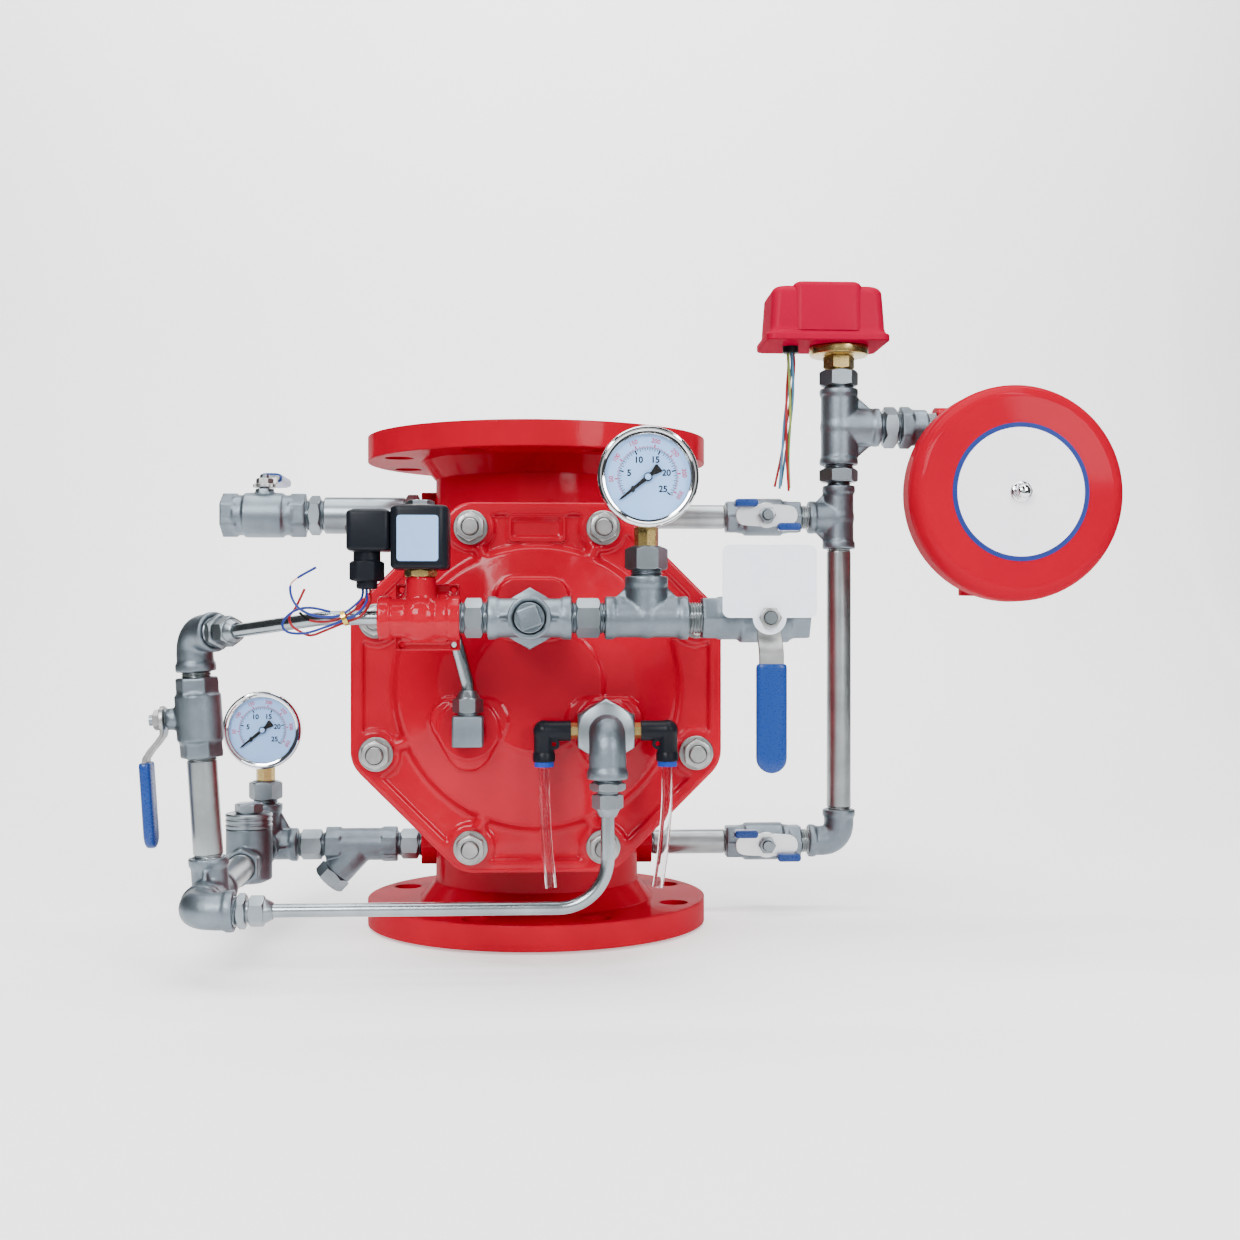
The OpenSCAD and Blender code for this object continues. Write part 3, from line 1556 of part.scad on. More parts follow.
check_half = 38;
check_top = 27;
flap_pin = [0, 6, 13];
flap_face = 9.2;
module check_valve_body()
  color("darkgray")
    left_frame()
      translate([0, -check_at, 0])
        difference() {
          union() {
            translate([0, 0, -15])
              cylinder(d = 37, h = check_top + 15);
            translate([0, 0, -18])
              cylinder(d1 = 24, d2 = 37, h = 3.01);
            rod([0, -check_half + 4, 0], [0, 1, 0], 26, 2 * check_half - 8);
            hexbar([0, -check_half, 0], [0, 1, 0], 27, hex_l);
            hexbar([0, check_half - hex_l, 0], [0, 1, 0], 27, hex_l);
          }
          difference() {
            translate([0, 0, -12])
              cylinder(r = 15, h = 60);
            translate([-20, flap_face, -20])
              cube([40, 20, check_top + 12]);
          }
          rod([0, -check_half - 1, 0], [0, 1, 0], pipe_bore, 100);
          rod([0, -check_half - 1, 0], [0, 1, 0], socket_d, thread_in + 1);
          rod([0, check_half - thread_in, 0], [0, 1, 0], socket_d, thread_in + 1);
          rod(flap_pin - [16.5, 0, 0], [1, 0, 0], 3 + 2 * run_gap, 33);
        }

module check_valve_cap()
  color("silver")
    left_frame()
      translate([0, -check_at, 0]) {
        translate([0, 0, check_top])
          cylinder(d = 37.5, h = 12);
        translate([0, 0, check_top + 12])
          cylinder(d = 20 / cos(30), h = 8, $fn = 6);
        translate([0, 0, check_top - 6])
          intersection() {
            cylinder(r = 14.9, h = 7);
            translate([-20, -20, 0])
              cube([40, 20 + flap_face - 0.2, 7]);
          }
      }

module check_flapper()
  color("goldenrod")
    left_frame()
      translate([0, -check_at, 0]) {
        rod([0, flap_face - 3.1, -0.5], [0, 1, 0], 18, 3);
        rod(flap_pin - [16, 0, 0], [1, 0, 0], 3, 32);
        translate([-3, flap_face - 5.5, 0])
          cube([6, 3, 15]);
      }

// Pressure switch
module rounded_box(w, d, h, r)
  linear_extrude(h)
    union() {
      square([w - 2 * r, d], center = true);
      square([w, d - 2 * r], center = true);
      for (x = [-1, 1], y = [-1, 1])
        translate([x * (w / 2 - r), y * (d / 2 - r)])
          circle(r = r);
    }

module switch_flange()
  color("goldenrod")
    translate([right_x, port_y, 0])
      difference() {
        union() {
          translate([0, 0, gong_tee_z + big_reach + 16 - thread_in])
            cylinder(d = pipe_d, h = thread_in + 2);
          translate([0, 0, gong_tee_z + big_reach + 17])
            cylinder(d = 24 / cos(30), h = switch_z - 8 - gong_tee_z - big_reach - 16, $fn = 6);
          translate([0, 0, switch_z - 8])
            cylinder(d = 52, h = 8);
        }
        translate([0, 0, gong_tee_z])
          cylinder(d = 8, h = 100);
      }

base_h = 7;
module switch_cover()
  color("red")
    translate([switch_x, port_y, switch_z]) {
      difference() {
        union() {
          rounded_box(switch_w, switch_depth, base_h, 6);
          translate([lead_from[0] - switch_x, 0, lead_from[2] - switch_z])
            cylinder(d = 14, h = switch_z - lead_from[2] + 1);
        }
        translate([right_x - switch_x, 0, -1])
          cylinder(d = 8, h = 20);
      }
      translate([0, 0, base_h])
        difference() {
          union() {
            rounded_box(switch_w - 8, switch_depth - 8, switch_h - base_h, 8);
            rounded_box(switch_w - 2, switch_depth - 2, 5, 6);
          }
          translate([0, 0, -1])
            rounded_box(switch_w - 14, switch_depth - 14, switch_h - base_h - 2, 6);
        }
    }

// Water motor and gong
drum_r = 60;
drum_w = 56;
cave_r = 52;
shaft_r = 7;
neck_front = 38;
module gong_frame()
  translate([gong_x, 0, gong_z])
    children();

module motor_housing()
  color("red") {
    front = port_y - drum_w / 2;
    gong_frame()
      difference() {
        union() {
          rod([0, front, 0], [0, 1, 0], 2 * drum_r, drum_w);
          rod([0, -neck_front, 0], [0, 1, 0], 30, neck_front + front + 1);
          rod([-40, port_y, gong_tee_z - gong_z], [1, 0, 0], big_pipe_d + 9, 54);
          rod([0, port_y, -drum_r + 6], [0, 0, -1], big_pipe_d + 9, 28);
        }
        rod([0, front + 8, 0], [0, 1, 0], 2 * cave_r, drum_w - 16);
        rod([0, -neck_front - 1, 0], [0, 1, 0], 2 * shaft_r + 2 * run_gap, neck_front + front + 12);
        rod([0, port_y, 0], [0, 1, 0], 8.1, 60);
        rod([-41, port_y, gong_tee_z - gong_z], [1, 0, 0], big_socket_d, thread_in + 1);
        rod([-41, port_y, gong_tee_z - gong_z], [1, 0, 0], big_bore, 36);
        rod([-12, port_y, gong_tee_z - gong_z], [0.6, 0, -1], 8, 26);
        rod([0, port_y, -cave_r + 4], [0, 0, -1], big_bore, 60);
        rod([0, port_y, -drum_r - 22 + thread_in], [0, 0, -1], big_socket_d, thread_in + 1);
      }
  }

module gong_profile(t) {
  r = gong_d / 2 - t;
  d = gong_depth - t;
  e = 24 - t;
  polygon(concat(
    [[0, 0], [r, 0]],
    [for (k = [0:8]) [r - e + e * cos(k * 11.25), d - e + e * sin(k * 11.25)]],
    [[0, d]]
  ));
}

gong_t = 2.5;
gong_face_t = gong_t + 1;
module gong_bell()
  color("red")
    gong_frame()
      translate([0, -gong_rim_y, 0])
        rotate([90, 0, 0])
          rotate_extrude($fn = 128)
            difference() {
              gong_profile(0);
              translate([0, gong_t - gong_face_t])
                gong_profile(gong_t);
              translate([0, -1])
                square([gong_d / 2 - gong_t, 3]);
              translate([0, -1])
                square([4.1, gong_depth + 5]);
            }

hub_front = 46;
arm_l = 74;
module gong_bolt()
  color("silver")
    gong_frame() {
      face = gong_rim_y + gong_depth;
      rod([0, port_y + drum_w / 2, 0], [0, -1, 0], 8, port_y + drum_w / 2 + face + 8);
      rod([0, -hub_front - 1, 0], [0, -1, 0], 13, face - gong_face_t - hub_front - 1);
      difference() {
        union() {
          hexbar([0, -face, 0], [0, -1, 0], 13, 6);
          rod([0, -face, 0], [0, -1, 0], 12, 11);
        }
        rod([0, -face + 1, 0], [0, -1, 0], 8.1, 9.05);
      }
    }

module striker()
  color("gray")
    gong_frame()
      difference() {
        union() {
          rod([0, port_y + drum_w / 2 - 9, 0], [0, -1, 0], 2 * shaft_r, port_y + drum_w / 2 - 9 + hub_front);
          rod([0, port_y + 14, 0], [0, -1, 0], 36, 28);
          for (a = [0:45:315])
            rotate([0, a, 0])
              translate([12, port_y - 14, -1.5])
                cube([36, 28, 3]);
          translate([-5, -hub_front, -arm_l])
            cube([10, 5, arm_l]);
          rod([0, -hub_front, -arm_l], [0, 1, 0], 13, 12);
          rod([0, -hub_front, 0], [0, 1, 0], 20, 6);
        }
        rod([0, -80, 0], [0, 1, 0], 8.2, 200);
      }

valve_body();
cover();
diaphragm();
seat_ring();
cover_studs();
cover_nuts();
cover_washers();
lift_disc();
lift_spring();
hex_nipples();
trim_pipes();
pipe_fittings();
hex_bushings();
tube_fittings();
tube_nuts();
pilot_tubes();
drip_block();
push_in_stems();
push_in_elbows();
drip_tubes();
solenoid_body();
core_tube();
solenoid_coil();
coil_connector();
solenoid_plunger();
gauge_cases();
gauge_dials();
gauge_lenses();
gauge_stems();
front_needle();
left_needle();
lever_valve_bodies();
wing_valve_bodies();
ball_seats();
manual_lever();
manual_ball();
sign_plate();
left_lever();
left_ball();
drain_lever();
drain_ball();
upper_wing();
upper_wing_ball();
lower_wing();
lower_wing_ball();
strainer_body();
strainer_cap();
strainer_screen();
check_valve_body();
check_valve_cap();
check_flapper();
switch_flange();
switch_cover();
motor_housing();
gong_bell();
gong_bolt();
striker();
switch_leads();
solenoid_leads();
wire_tie();
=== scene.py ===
import json
import math

import bmesh
import bpy
import numpy as np
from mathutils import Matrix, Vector


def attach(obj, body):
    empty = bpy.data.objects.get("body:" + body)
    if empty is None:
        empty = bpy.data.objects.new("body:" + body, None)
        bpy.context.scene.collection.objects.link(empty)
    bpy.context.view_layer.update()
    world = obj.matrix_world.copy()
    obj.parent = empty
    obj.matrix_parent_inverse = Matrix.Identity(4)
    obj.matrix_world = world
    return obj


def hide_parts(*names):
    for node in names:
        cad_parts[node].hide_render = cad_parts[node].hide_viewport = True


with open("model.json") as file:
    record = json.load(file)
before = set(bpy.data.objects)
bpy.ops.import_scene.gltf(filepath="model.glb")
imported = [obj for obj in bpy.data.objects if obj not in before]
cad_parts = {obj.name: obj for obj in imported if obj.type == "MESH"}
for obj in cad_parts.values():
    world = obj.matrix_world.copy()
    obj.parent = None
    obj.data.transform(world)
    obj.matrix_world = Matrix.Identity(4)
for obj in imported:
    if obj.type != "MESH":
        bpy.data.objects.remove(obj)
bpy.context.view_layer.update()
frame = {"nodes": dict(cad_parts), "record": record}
nodes = frame["nodes"]
slots = {row["node"]: row["material_slot"] for row in frame["record"]["subparts"]}
bodyOf = {n: b for b, members in frame["record"]["behaviour"]["bodies"].items() for n in members}
print("frame loaded with", len(nodes), "nodes")

# Camera at the photograph's place: level, 1.32 m in front and turned a little to the right
cameraView = {"place": (0.0, -1.319, 0.246), "yaw": 3.28, "roll": 0.0, "lens": 45.58, "shift": 0.00565}


def makeCamera(view):
    camera = bpy.data.cameras.new("photoCamera")
    camera.lens = view["lens"]
    camera.sensor_width = 36
    camera.shift_x = -view["shift"]
    camera.shift_y = view["shift"]
    camera.clip_end = 50
    holder = bpy.data.objects.new("photoCamera", camera)
    holder.location = view["place"]
    holder.rotation_euler = (math.radians(90), math.radians(view["roll"]), math.radians(-view["yaw"]))
    bpy.context.scene.collection.objects.link(holder)
    bpy.context.scene.camera = holder


makeCamera(cameraView)


# Materials
def newMaterial(name):
    material = bpy.data.materials.new(name)
    material.use_nodes = True
    tree = material.node_tree
    shader = next(n for n in tree.nodes if n.type == "BSDF_PRINCIPLED")
    return material, tree, shader


def objectPoints(tree, stretch=(1, 1, 1)):
    place = tree.nodes.new("ShaderNodeTexCoord")
    mapping = tree.nodes.new("ShaderNodeMapping")
    mapping.inputs["Scale"].default_value = stretch
    tree.links.new(place.outputs["Object"], mapping.inputs["Vector"])
    return mapping.outputs["Vector"]


def noiseField(tree, points, scale, detail=3, rough=0.55):
    field = tree.nodes.new("ShaderNodeTexNoise")
    field.inputs["Scale"].default_value = scale
    field.inputs["Detail"].default_value = detail
    field.inputs["Roughness"].default_value = rough
    tree.links.new(points, field.inputs["Vector"])
    return field.outputs["Fac"]


def ramp(tree, source, stops):
    node = tree.nodes.new("ShaderNodeValToRGB")
    line = node.color_ramp
    while len(line.elements) < len(stops):
        line.elements.new(0.5)
    for element, (at, tone) in zip(line.elements, stops):
        element.position = at
        element.color = (*tone, 1)
    tree.links.new(source, node.inputs["Fac"])
    return node.outputs["Color"]


def spread(tree, source, low, high, fromLow=0.3, fromHigh=0.7):
    node = tree.nodes.new("ShaderNodeMapRange")
    node.inputs["From Min"].default_value = fromLow
    node.inputs["From Max"].default_value = fromHigh
    node.inputs["To Min"].default_value = low
    node.inputs["To Max"].default_value = high
    tree.links.new(source, node.inputs["Value"])
    return node.outputs["Result"]


# Layers are (height output, strength, distance in metres); edge is the radius by which shading rounds a corner
def bumpChain(tree, shader, layers, edge=0.0):
    normal = None
    if edge > 0:
        soft = tree.nodes.new("ShaderNodeBevel")
        soft.samples = 4
        soft.inputs["Radius"].default_value = edge
        normal = soft.outputs["Normal"]
    for height, strength, distance in layers:
        bump = tree.nodes.new("ShaderNodeBump")
        bump.inputs["Strength"].default_value = strength
        bump.inputs["Distance"].default_value = distance
        tree.links.new(height, bump.inputs["Height"])
        if normal is not None:
            tree.links.new(normal, bump.inputs["Normal"])
        normal = bump.outputs["Normal"]
    if normal is not None:
        tree.links.new(normal, shader.inputs["Normal"])
        tree.links.new(normal, shader.inputs["Coat Normal"])


# Gloss paint over a casting: long soft waves, fine orange peel, and a deeper tone where the film is thick
def paintMaterial(name, tone, deep, rough, edge, lumps=0.25, coat=0.12, gloss=0.10):
    material, tree, shader = newMaterial(name)
    points = objectPoints(tree)
    wide = noiseField(tree, points, 16, 3)
    peel = noiseField(tree, points, 420, 2)
    grain = noiseField(tree, points, 95, 4)
    tree.links.new(ramp(tree, wide, [(0.32, deep), (0.6, tone)]), shader.inputs["Base Color"])
    tree.links.new(spread(tree, grain, rough * 0.8, rough * 1.3), shader.inputs["Roughness"])
    shader.inputs["Specular IOR Level"].default_value = 0
    shader.inputs["Coat Weight"].default_value = coat
    shader.inputs["Coat Roughness"].default_value = gloss
    bumpChain(tree, shader, [(wide, lumps, 0.004), (grain, lumps * 0.6, 0.0008), (peel, 0.12, 0.0003)], edge)
    return material


# Bare metal: slow blotches in tone, a fine grain that can be drawn out along one axis, and shot marks
def metalMaterial(name, tone, deep, rough, edge=0.0, stretch=(1, 1, 1), grainScale=900, grain=0.25,
                  blotch=30, pits=0.0):
    material, tree, shader = newMaterial(name)
    points = objectPoints(tree)
    drawn = objectPoints(tree, stretch)
    slow = noiseField(tree, points, blotch, 4)
    fine = noiseField(tree, drawn, grainScale, 3, 0.6)
    tree.links.new(ramp(tree, slow, [(0.3, deep), (0.66, tone)]), shader.inputs["Base Color"])
    tree.links.new(spread(tree, fine, rough * 0.94, rough * 1.07), shader.inputs["Roughness"])
    shader.inputs["Metallic"].default_value = 1
    layers = [(fine, grain, 0.0003)]
    if pits > 0:
        layers.append((noiseField(tree, points, 420, 2), pits, 0.0006))
    bumpChain(tree, shader, layers, edge)
    return material


# Moulded plastic, dipped vinyl, ink or wire sleeve: a nearly even tone with a fine moulded texture
def plasticMaterial(name, tone, deep, rough, edge=0.0, grain=0.15, scale=500, shine=0.3):
    material, tree, shader = newMaterial(name)
    points = objectPoints(tree)
    slow = noiseField(tree, points, 40, 3)
    fine = noiseField(tree, points, scale, 2)
    tree.links.new(ramp(tree, slow, [(0.32, deep), (0.68, tone)]), shader.inputs["Base Color"])
    tree.links.new(spread(tree, fine, rough * 0.8, rough * 1.2), shader.inputs["Roughness"])
    shader.inputs["Specular IOR Level"].default_value = shine
    bumpChain(tree, shader, [(fine, grain, 0.0002)], edge)
    return material


# Clear plastic or glass: nearly see-through when faced, denser at a glance
def clearMaterial(name, tone, centre, rim, rough, through=0.0):
    material, tree, shader = newMaterial(name)
    glance = tree.nodes.new("ShaderNodeLayerWeight")
    glance.inputs["Blend"].default_value = 0.35
    slow = noiseField(tree, objectPoints(tree), 60, 2)
    tree.links.new(ramp(tree, slow, [(0.3, tuple(t * 0.92 for t in tone)), (0.7, tone)]), shader.inputs["Base Color"])
    tree.links.new(spread(tree, glance.outputs["Facing"], centre, rim, 0.45, 0.95), shader.inputs["Alpha"])
    shader.inputs["Roughness"].default_value = rough
    shader.inputs["Specular IOR Level"].default_value = 0.8
    shader.inputs["Transmission Weight"].default_value = through
    shader.inputs["IOR"].default_value = 1.25
    return material


red = (0.36, 0.0, 0.013)
redDeep = (0.31, 0.0, 0.011)
steel = (0.190, 0.230, 0.262)
steelDeep = (0.115, 0.140, 0.160)
nutTone = (0.262, 0.300, 0.328)
nutDeep = (0.175, 0.200, 0.220)
pipeTone = (0.36, 0.39, 0.40)
pipeDeep = (0.24, 0.26, 0.265)
finishes = {
    "castRed": paintMaterial("castRed", red, redDeep, 0.26, 0.0022),
    "softRed": paintMaterial("softRed", red, redDeep, 0.26, 0.0, coat=0.35, gloss=0.12),
    "gongRed": paintMaterial("gongRed", (0.34, 0.0, 0.014), (0.32, 0.0, 0.013), 0.16, 0.0, 0.06, 0.07, 0.08),
    "boxRed": paintMaterial("boxRed", (0.33, 0.0, 0.026), (0.31, 0.0, 0.024), 0.26, 0.0, 0.06, 0.04, 0.25),
    "castSteel": metalMaterial("castSteel", steel, steelDeep, 0.46, 0.0, grain=0.12, pits=0.3),
    "turnedSteel": metalMaterial("turnedSteel", nutTone, nutDeep, 0.34, 0.0005, grainScale=300, grain=0.02),
    "nutSteel": metalMaterial("nutSteel", nutTone, nutDeep, 0.34, 0.0, grainScale=300, grain=0.02),
    "pipeX": metalMaterial("pipeX", pipeTone, pipeDeep, 0.34, 0.0, (0.04, 1, 1), 500, 0.08),
    "pipeY": metalMaterial("pipeY", pipeTone, pipeDeep, 0.34, 0.0, (1, 0.04, 1), 500, 0.08),
    "pipeZ": metalMaterial("pipeZ", pipeTone, pipeDeep, 0.34, 0.0, (1, 1, 0.04), 500, 0.08),
    "tubeSteel": metalMaterial("tubeSteel", (0.30, 0.34, 0.36), (0.21, 0.24, 0.255), 0.24, 0.0,
                               grainScale=300, grain=0.02),
    "wingSteel": metalMaterial("wingSteel", (0.70, 0.72, 0.74), (0.60, 0.62, 0.64), 0.36, 0.0,
                               grainScale=300, grain=0.02),
    "zincPlain": metalMaterial("zincPlain", (0.36, 0.37, 0.365), (0.25, 0.255, 0.25), 0.38, 0.0,
                               grainScale=300, blotch=80, grain=0.02),
    "brass": metalMaterial("brass", (0.50, 0.37, 0.15), (0.36, 0.26, 0.09), 0.28, 0.0, grain=0.08),
    "darkMetal": metalMaterial("darkMetal", (0.22, 0.22, 0.22), (0.14, 0.14, 0.14), 0.35, 0.0004, grain=0.1),
    "chrome": metalMaterial("chrome", (0.72, 0.74, 0.76), (0.66, 0.68, 0.70), 0.08, 0.0, grain=0.02),
    "rubber": plasticMaterial("rubber", (0.02, 0.02, 0.02), (0.014, 0.014, 0.014), 0.6),
    "blackPlastic": plasticMaterial("blackPlastic", (0.007, 0.009, 0.013), (0.005, 0.006, 0.009), 0.36, 0.0007,
                                    shine=0.12),
    "dialWhite": plasticMaterial("dialWhite", (0.31, 0.53, 0.90), (0.28, 0.49, 0.86), 0.5, grain=0.02, shine=0.1),
    "signWhite": plasticMaterial("signWhite", (0.82, 0.88, 0.96), (0.78, 0.84, 0.93), 0.24, grain=0.03),
    "labelWhite": plasticMaterial("labelWhite", (0.26, 0.43, 0.72), (0.23, 0.39, 0.68), 0.45, grain=0.03, shine=0.1),
    "discWhite": plasticMaterial("discWhite", (0.93, 0.90, 0.96), (0.90, 0.87, 0.93), 0.24, grain=0.03),
    "sealWhite": plasticMaterial("sealWhite", (0.80, 0.80, 0.78), (0.74, 0.74, 0.72), 0.4),
    "inkBlack": plasticMaterial("inkBlack", (0.006, 0.006, 0.006), (0.004, 0.004, 0.004), 0.5, grain=0.02, shine=0.05),
    "inkRed": plasticMaterial("inkRed", (0.50, 0.02, 0.06), (0.42, 0.015, 0.045), 0.5, grain=0.02, shine=0.05),
    "ringBlue": plasticMaterial("ringBlue", (0.016, 0.030, 0.17), (0.013, 0.025, 0.15), 0.4, grain=0.03, shine=0.1),
    "gripBlue": plasticMaterial("gripBlue", (0.006, 0.036, 0.185), (0.005, 0.032, 0.170), 0.30, 0.0, 0.06, 900),
    "collarBlue": plasticMaterial("collarBlue", (0.012, 0.045, 0.32), (0.010, 0.038, 0.27), 0.3, 0.0, shine=0.15),
    "collarPale": plasticMaterial("collarPale", (0.50, 0.56, 0.70), (0.42, 0.48, 0.60), 0.3, 0.0),
    "wireRed": plasticMaterial("wireRed", (0.30, 0.006, 0.012), (0.22, 0.004, 0.008), 0.35),
    "wireBlue": plasticMaterial("wireBlue", (0.010, 0.028, 0.22), (0.007, 0.018, 0.15), 0.35),
    "wirePale": plasticMaterial("wirePale", (0.07, 0.20, 0.32), (0.05, 0.15, 0.25), 0.35),
    "wireLime": plasticMaterial("wireLime", (0.28, 0.33, 0.05), (0.08, 0.18, 0.05), 0.35),
    "copper": metalMaterial("copper", (0.75, 0.35, 0.20), (0.55, 0.22, 0.12), 0.3),
    "goldTie": metalMaterial("goldTie", (0.66, 0.48, 0.10), (0.46, 0.32, 0.06), 0.24, 0.0),
    "clearTube": clearMaterial("clearTube", (0.95, 0.93, 0.95), 1.0, 1.0, 0.04, 1.0),
    "lensGlass": clearMaterial("lensGlass", (0.30, 0.31, 0.32), 0.02, 0.30, 0.03),
}
print("materials made:", len(finishes))


# Frames in millimetres: a 4 by 4 matrix takes a local point to the valve's own frame
def move(x, y, z):
    m = np.eye(4)
    m[:3, 3] = x, y, z
    return m


def turn(axis, degrees):
    a, b = {"x": (1, 2), "y": (2, 0), "z": (0, 1)}[axis]
    c, s = math.cos(math.radians(degrees)), math.sin(math.radians(degrees))
    m = np.eye(4)
    m[a, a] = m[b, b] = c
    m[b, a], m[a, b] = s, -s
    return m


# Frame at a place with its third axis along the given one, turned as the solids are
def aim(place, axis):
    x, y, z = np.array(axis, float) / np.linalg.norm(axis)
    return move(*place) @ turn("z", math.degrees(math.atan2(y, x))) @ turn("y", math.degrees(math.acos(z)))


coverFrame = move(0, 0, 202) @ turn("x", 90)
leftFrame = move(-235, 60, 57) @ turn("x", 1.2)
riserFrame = leftFrame @ move(0, -230, 0) @ turn("y", -3.5)
manualFrame = move(152, -271, 252) @ turn("x", 90)
leftValveFrame = riserFrame @ move(0, 0, 129) @ turn("y", -90)
drainFrame = move(-236, 60, 343)
wingFrames = {"upper_wing": move(199, 60, 343) @ turn("x", 90), "lower_wing": move(199, 60, 57) @ turn("x", 90)}
gaugeFrames = {"front": move(73, -271, 345), "left": leftFrame @ move(0, 0, 101)}
gongFrame = move(393, 0, 356)
checkFrame = leftFrame @ move(0, -80, 0)


# Surfaces, each as (points in millimetres, faces)
# Quads of a grid of rows by columns, wrapping round where asked, worked out as whole arrays
def gridFaces(rows, columns, closeRows=False, closeColumns=True):
    r = np.arange(rows if closeRows else rows - 1)
    c = np.arange(columns if closeColumns else columns - 1)
    r, c = np.meshgrid(r, c, indexing="ij")
    r2, c2 = (r + 1) % rows, (c + 1) % columns
    return np.stack([r * columns + c, r * columns + c2, r2 * columns + c2, r2 * columns + c], -1).reshape(-1, 4)


# A grid of rings as one surface: rings joined in order, and end rings filled unless the rows close
def capped(points, closed):
    rows, columns = points.shape[:2]
    faces = gridFaces(rows, columns, closeRows=closed).tolist()
    if not closed:
        last = (rows - 1) * columns
        faces += [list(range(columns)), list(range(last, last + columns))]
    return points.reshape(-1, 3), faces


# Turned on a lathe about the third axis: radius is the profile's, and with flats no more than the bar's own,
# flats / 2 / cos(angle from the middle of the nearest flat)
def turned(profile, steps=64, flats=0.0, sides=6, closed=False):
    p = np.array(profile, float)
    a = np.linspace(0, 2 * np.pi, steps, endpoint=False)
    radius = np.repeat(p[:, :1], steps, axis=1)
    if flats > 0:
        piece = 2 * np.pi / sides
        radius = np.minimum(radius, flats / 2 / np.cos(a % piece - piece / 2))
    points = np.stack([radius * np.cos(a), radius * np.sin(a), np.repeat(p[:, 1:], steps, axis=1)], -1)
    return capped(points, closed)


# Hexagonal nut or hex: at a chamfered end a 30 degree cone cuts the corners, and a bore is countersunk
def nut(flats, low, high, bore=0.0, chamfers=(True, True), sides=6, steps=72):
    corner = flats / 2 / math.cos(math.pi / sides)
    inner = flats / 2 * 0.97
    drop = (corner - inner) * 0.577
    cut = [(inner + (corner - inner) * k / 5, drop * k / 5) for k in range(6)]
    rows = [(r, low + z) for r, z in cut] if chamfers[0] else [(corner, low)]
    rows += [(r, high - z) for r, z in reversed(cut)] if chamfers[1] else [(corner, high)]
    if bore > 0:
        sink = min(0.8, (inner - bore) * 0.3)
        rows = [(bore, low + sink), (bore + sink, low), *rows, (bore + sink, high), (bore, high - sink)]
    return turned(rows, steps, flats, sides, closed=bore > 0)


# Screwed rod: radius less depth times (1 - cos(2 pi (height / pitch - angle / 2 pi))) / 2, even where smooth
def threaded(radius, low, high, pitch=1.8, depth=0.8, smooth=(), steps=32):
    z = np.arange(low, high + pitch / 12, pitch / 6)
    z[-1] = high
    if smooth:
        z = np.concatenate([z[z <= smooth[0]], z[z >= smooth[1]]])
    a = np.linspace(0, 2 * np.pi, steps, endpoint=False)
    wave = (1 - np.cos(2 * np.pi * z[:, None] / pitch - a[None, :])) / 2
    fade = np.clip(np.minimum(z - low, high - z) / 0.8, 0, 1)[:, None]
    cut = depth * wave * fade + depth * 0.9 * (1 - fade)
    if smooth:
        cut[(z > smooth[0] - pitch / 3) & (z < smooth[1] + pitch / 3)] = 0
    r = radius - cut
    points = np.stack([r * np.cos(a), r * np.sin(a), np.repeat(z[:, None], steps, axis=1)], -1)
    return capped(points, False)


# Outline of a rectangle with rounded corners at one height
def roundedRing(width, depth, corner, z, steps=6):
    corner = min(corner, width / 2 - 0.01, depth / 2 - 0.01)
    a = np.linspace(0, np.pi / 2, steps + 1)
    ring = []
    for k, (sx, sy) in enumerate([(1, 1), (-1, 1), (-1, -1), (1, -1)]):
        b = a + k * np.pi / 2
        ring.append(np.stack([sx * (width / 2 - corner) + corner * np.cos(b),
                              sy * (depth / 2 - corner) + corner * np.sin(b), np.full(len(b), z)], -1))
    return np.concatenate(ring)


# Box with rounded corners and edges: rings inset by edge (1 - sin t) where the height is edge (1 - cos t) from
# an end, and narrower by taper at the top
def pillow(width, depth, low, high, corner, edge, taper=0.0, edges=(True, True)):
    t = np.linspace(0, np.pi / 2, 5)
    rows = [(edge * (1 - math.sin(x)), low + edge * (1 - math.cos(x))) for x in t] if edges[0] else [(0, low)]
    upper = [(edge * (1 - math.sin(x)), high - edge * (1 - math.cos(x))) for x in t[::-1]]
    rows += upper if edges[1] else [(0, high)]
    rings = []
    for inset, z in rows:
        inset += taper / 2 * (z - low) / (high - low)
        rings.append(roundedRing(width - 2 * inset, depth - 2 * inset, corner - inset * 0.6, z))
    return capped(np.array(rings), False)


# Plate of any outline with its two rims broken by a small chamfer
def slab(outline, low, high, edge=0.25):
    p = np.array(outline, float)
    centre = p.mean(axis=0)
    inner = centre + (p - centre) * (1 - edge / np.linalg.norm(p - centre, axis=1))[:, None]
    rows = [(inner, low), (p, low + edge), (p, high - edge), (inner, high)]
    return capped(np.array([np.column_stack([q, np.full(len(q), z)]) for q, z in rows]), False)


# Round tube along a path, with rings across the path's own direction and one radius or one for each point
def sweepTube(path, radii, steps=12):
    p = np.array(path, float)
    t = np.gradient(p, axis=0)
    t /= np.linalg.norm(t, axis=1)[:, None]
    ref = np.array([0, 1.0, 0]) if np.abs(t[:, 1]).max() < 0.9 else np.array([1.0, 0, 0])
    u = np.cross(t, ref)
    u /= np.linalg.norm(u, axis=1)[:, None]
    v = np.cross(t, u)
    a = np.linspace(0, 2 * np.pi, steps, endpoint=False)
    r = np.broadcast_to(np.array(radii, float), (len(p),))
    ring = np.cos(a)[None, :, None] * u[:, None, :] + np.sin(a)[None, :, None] * v[:, None, :]
    return capped(p[:, None, :] + r[:, None, None] * ring, False)


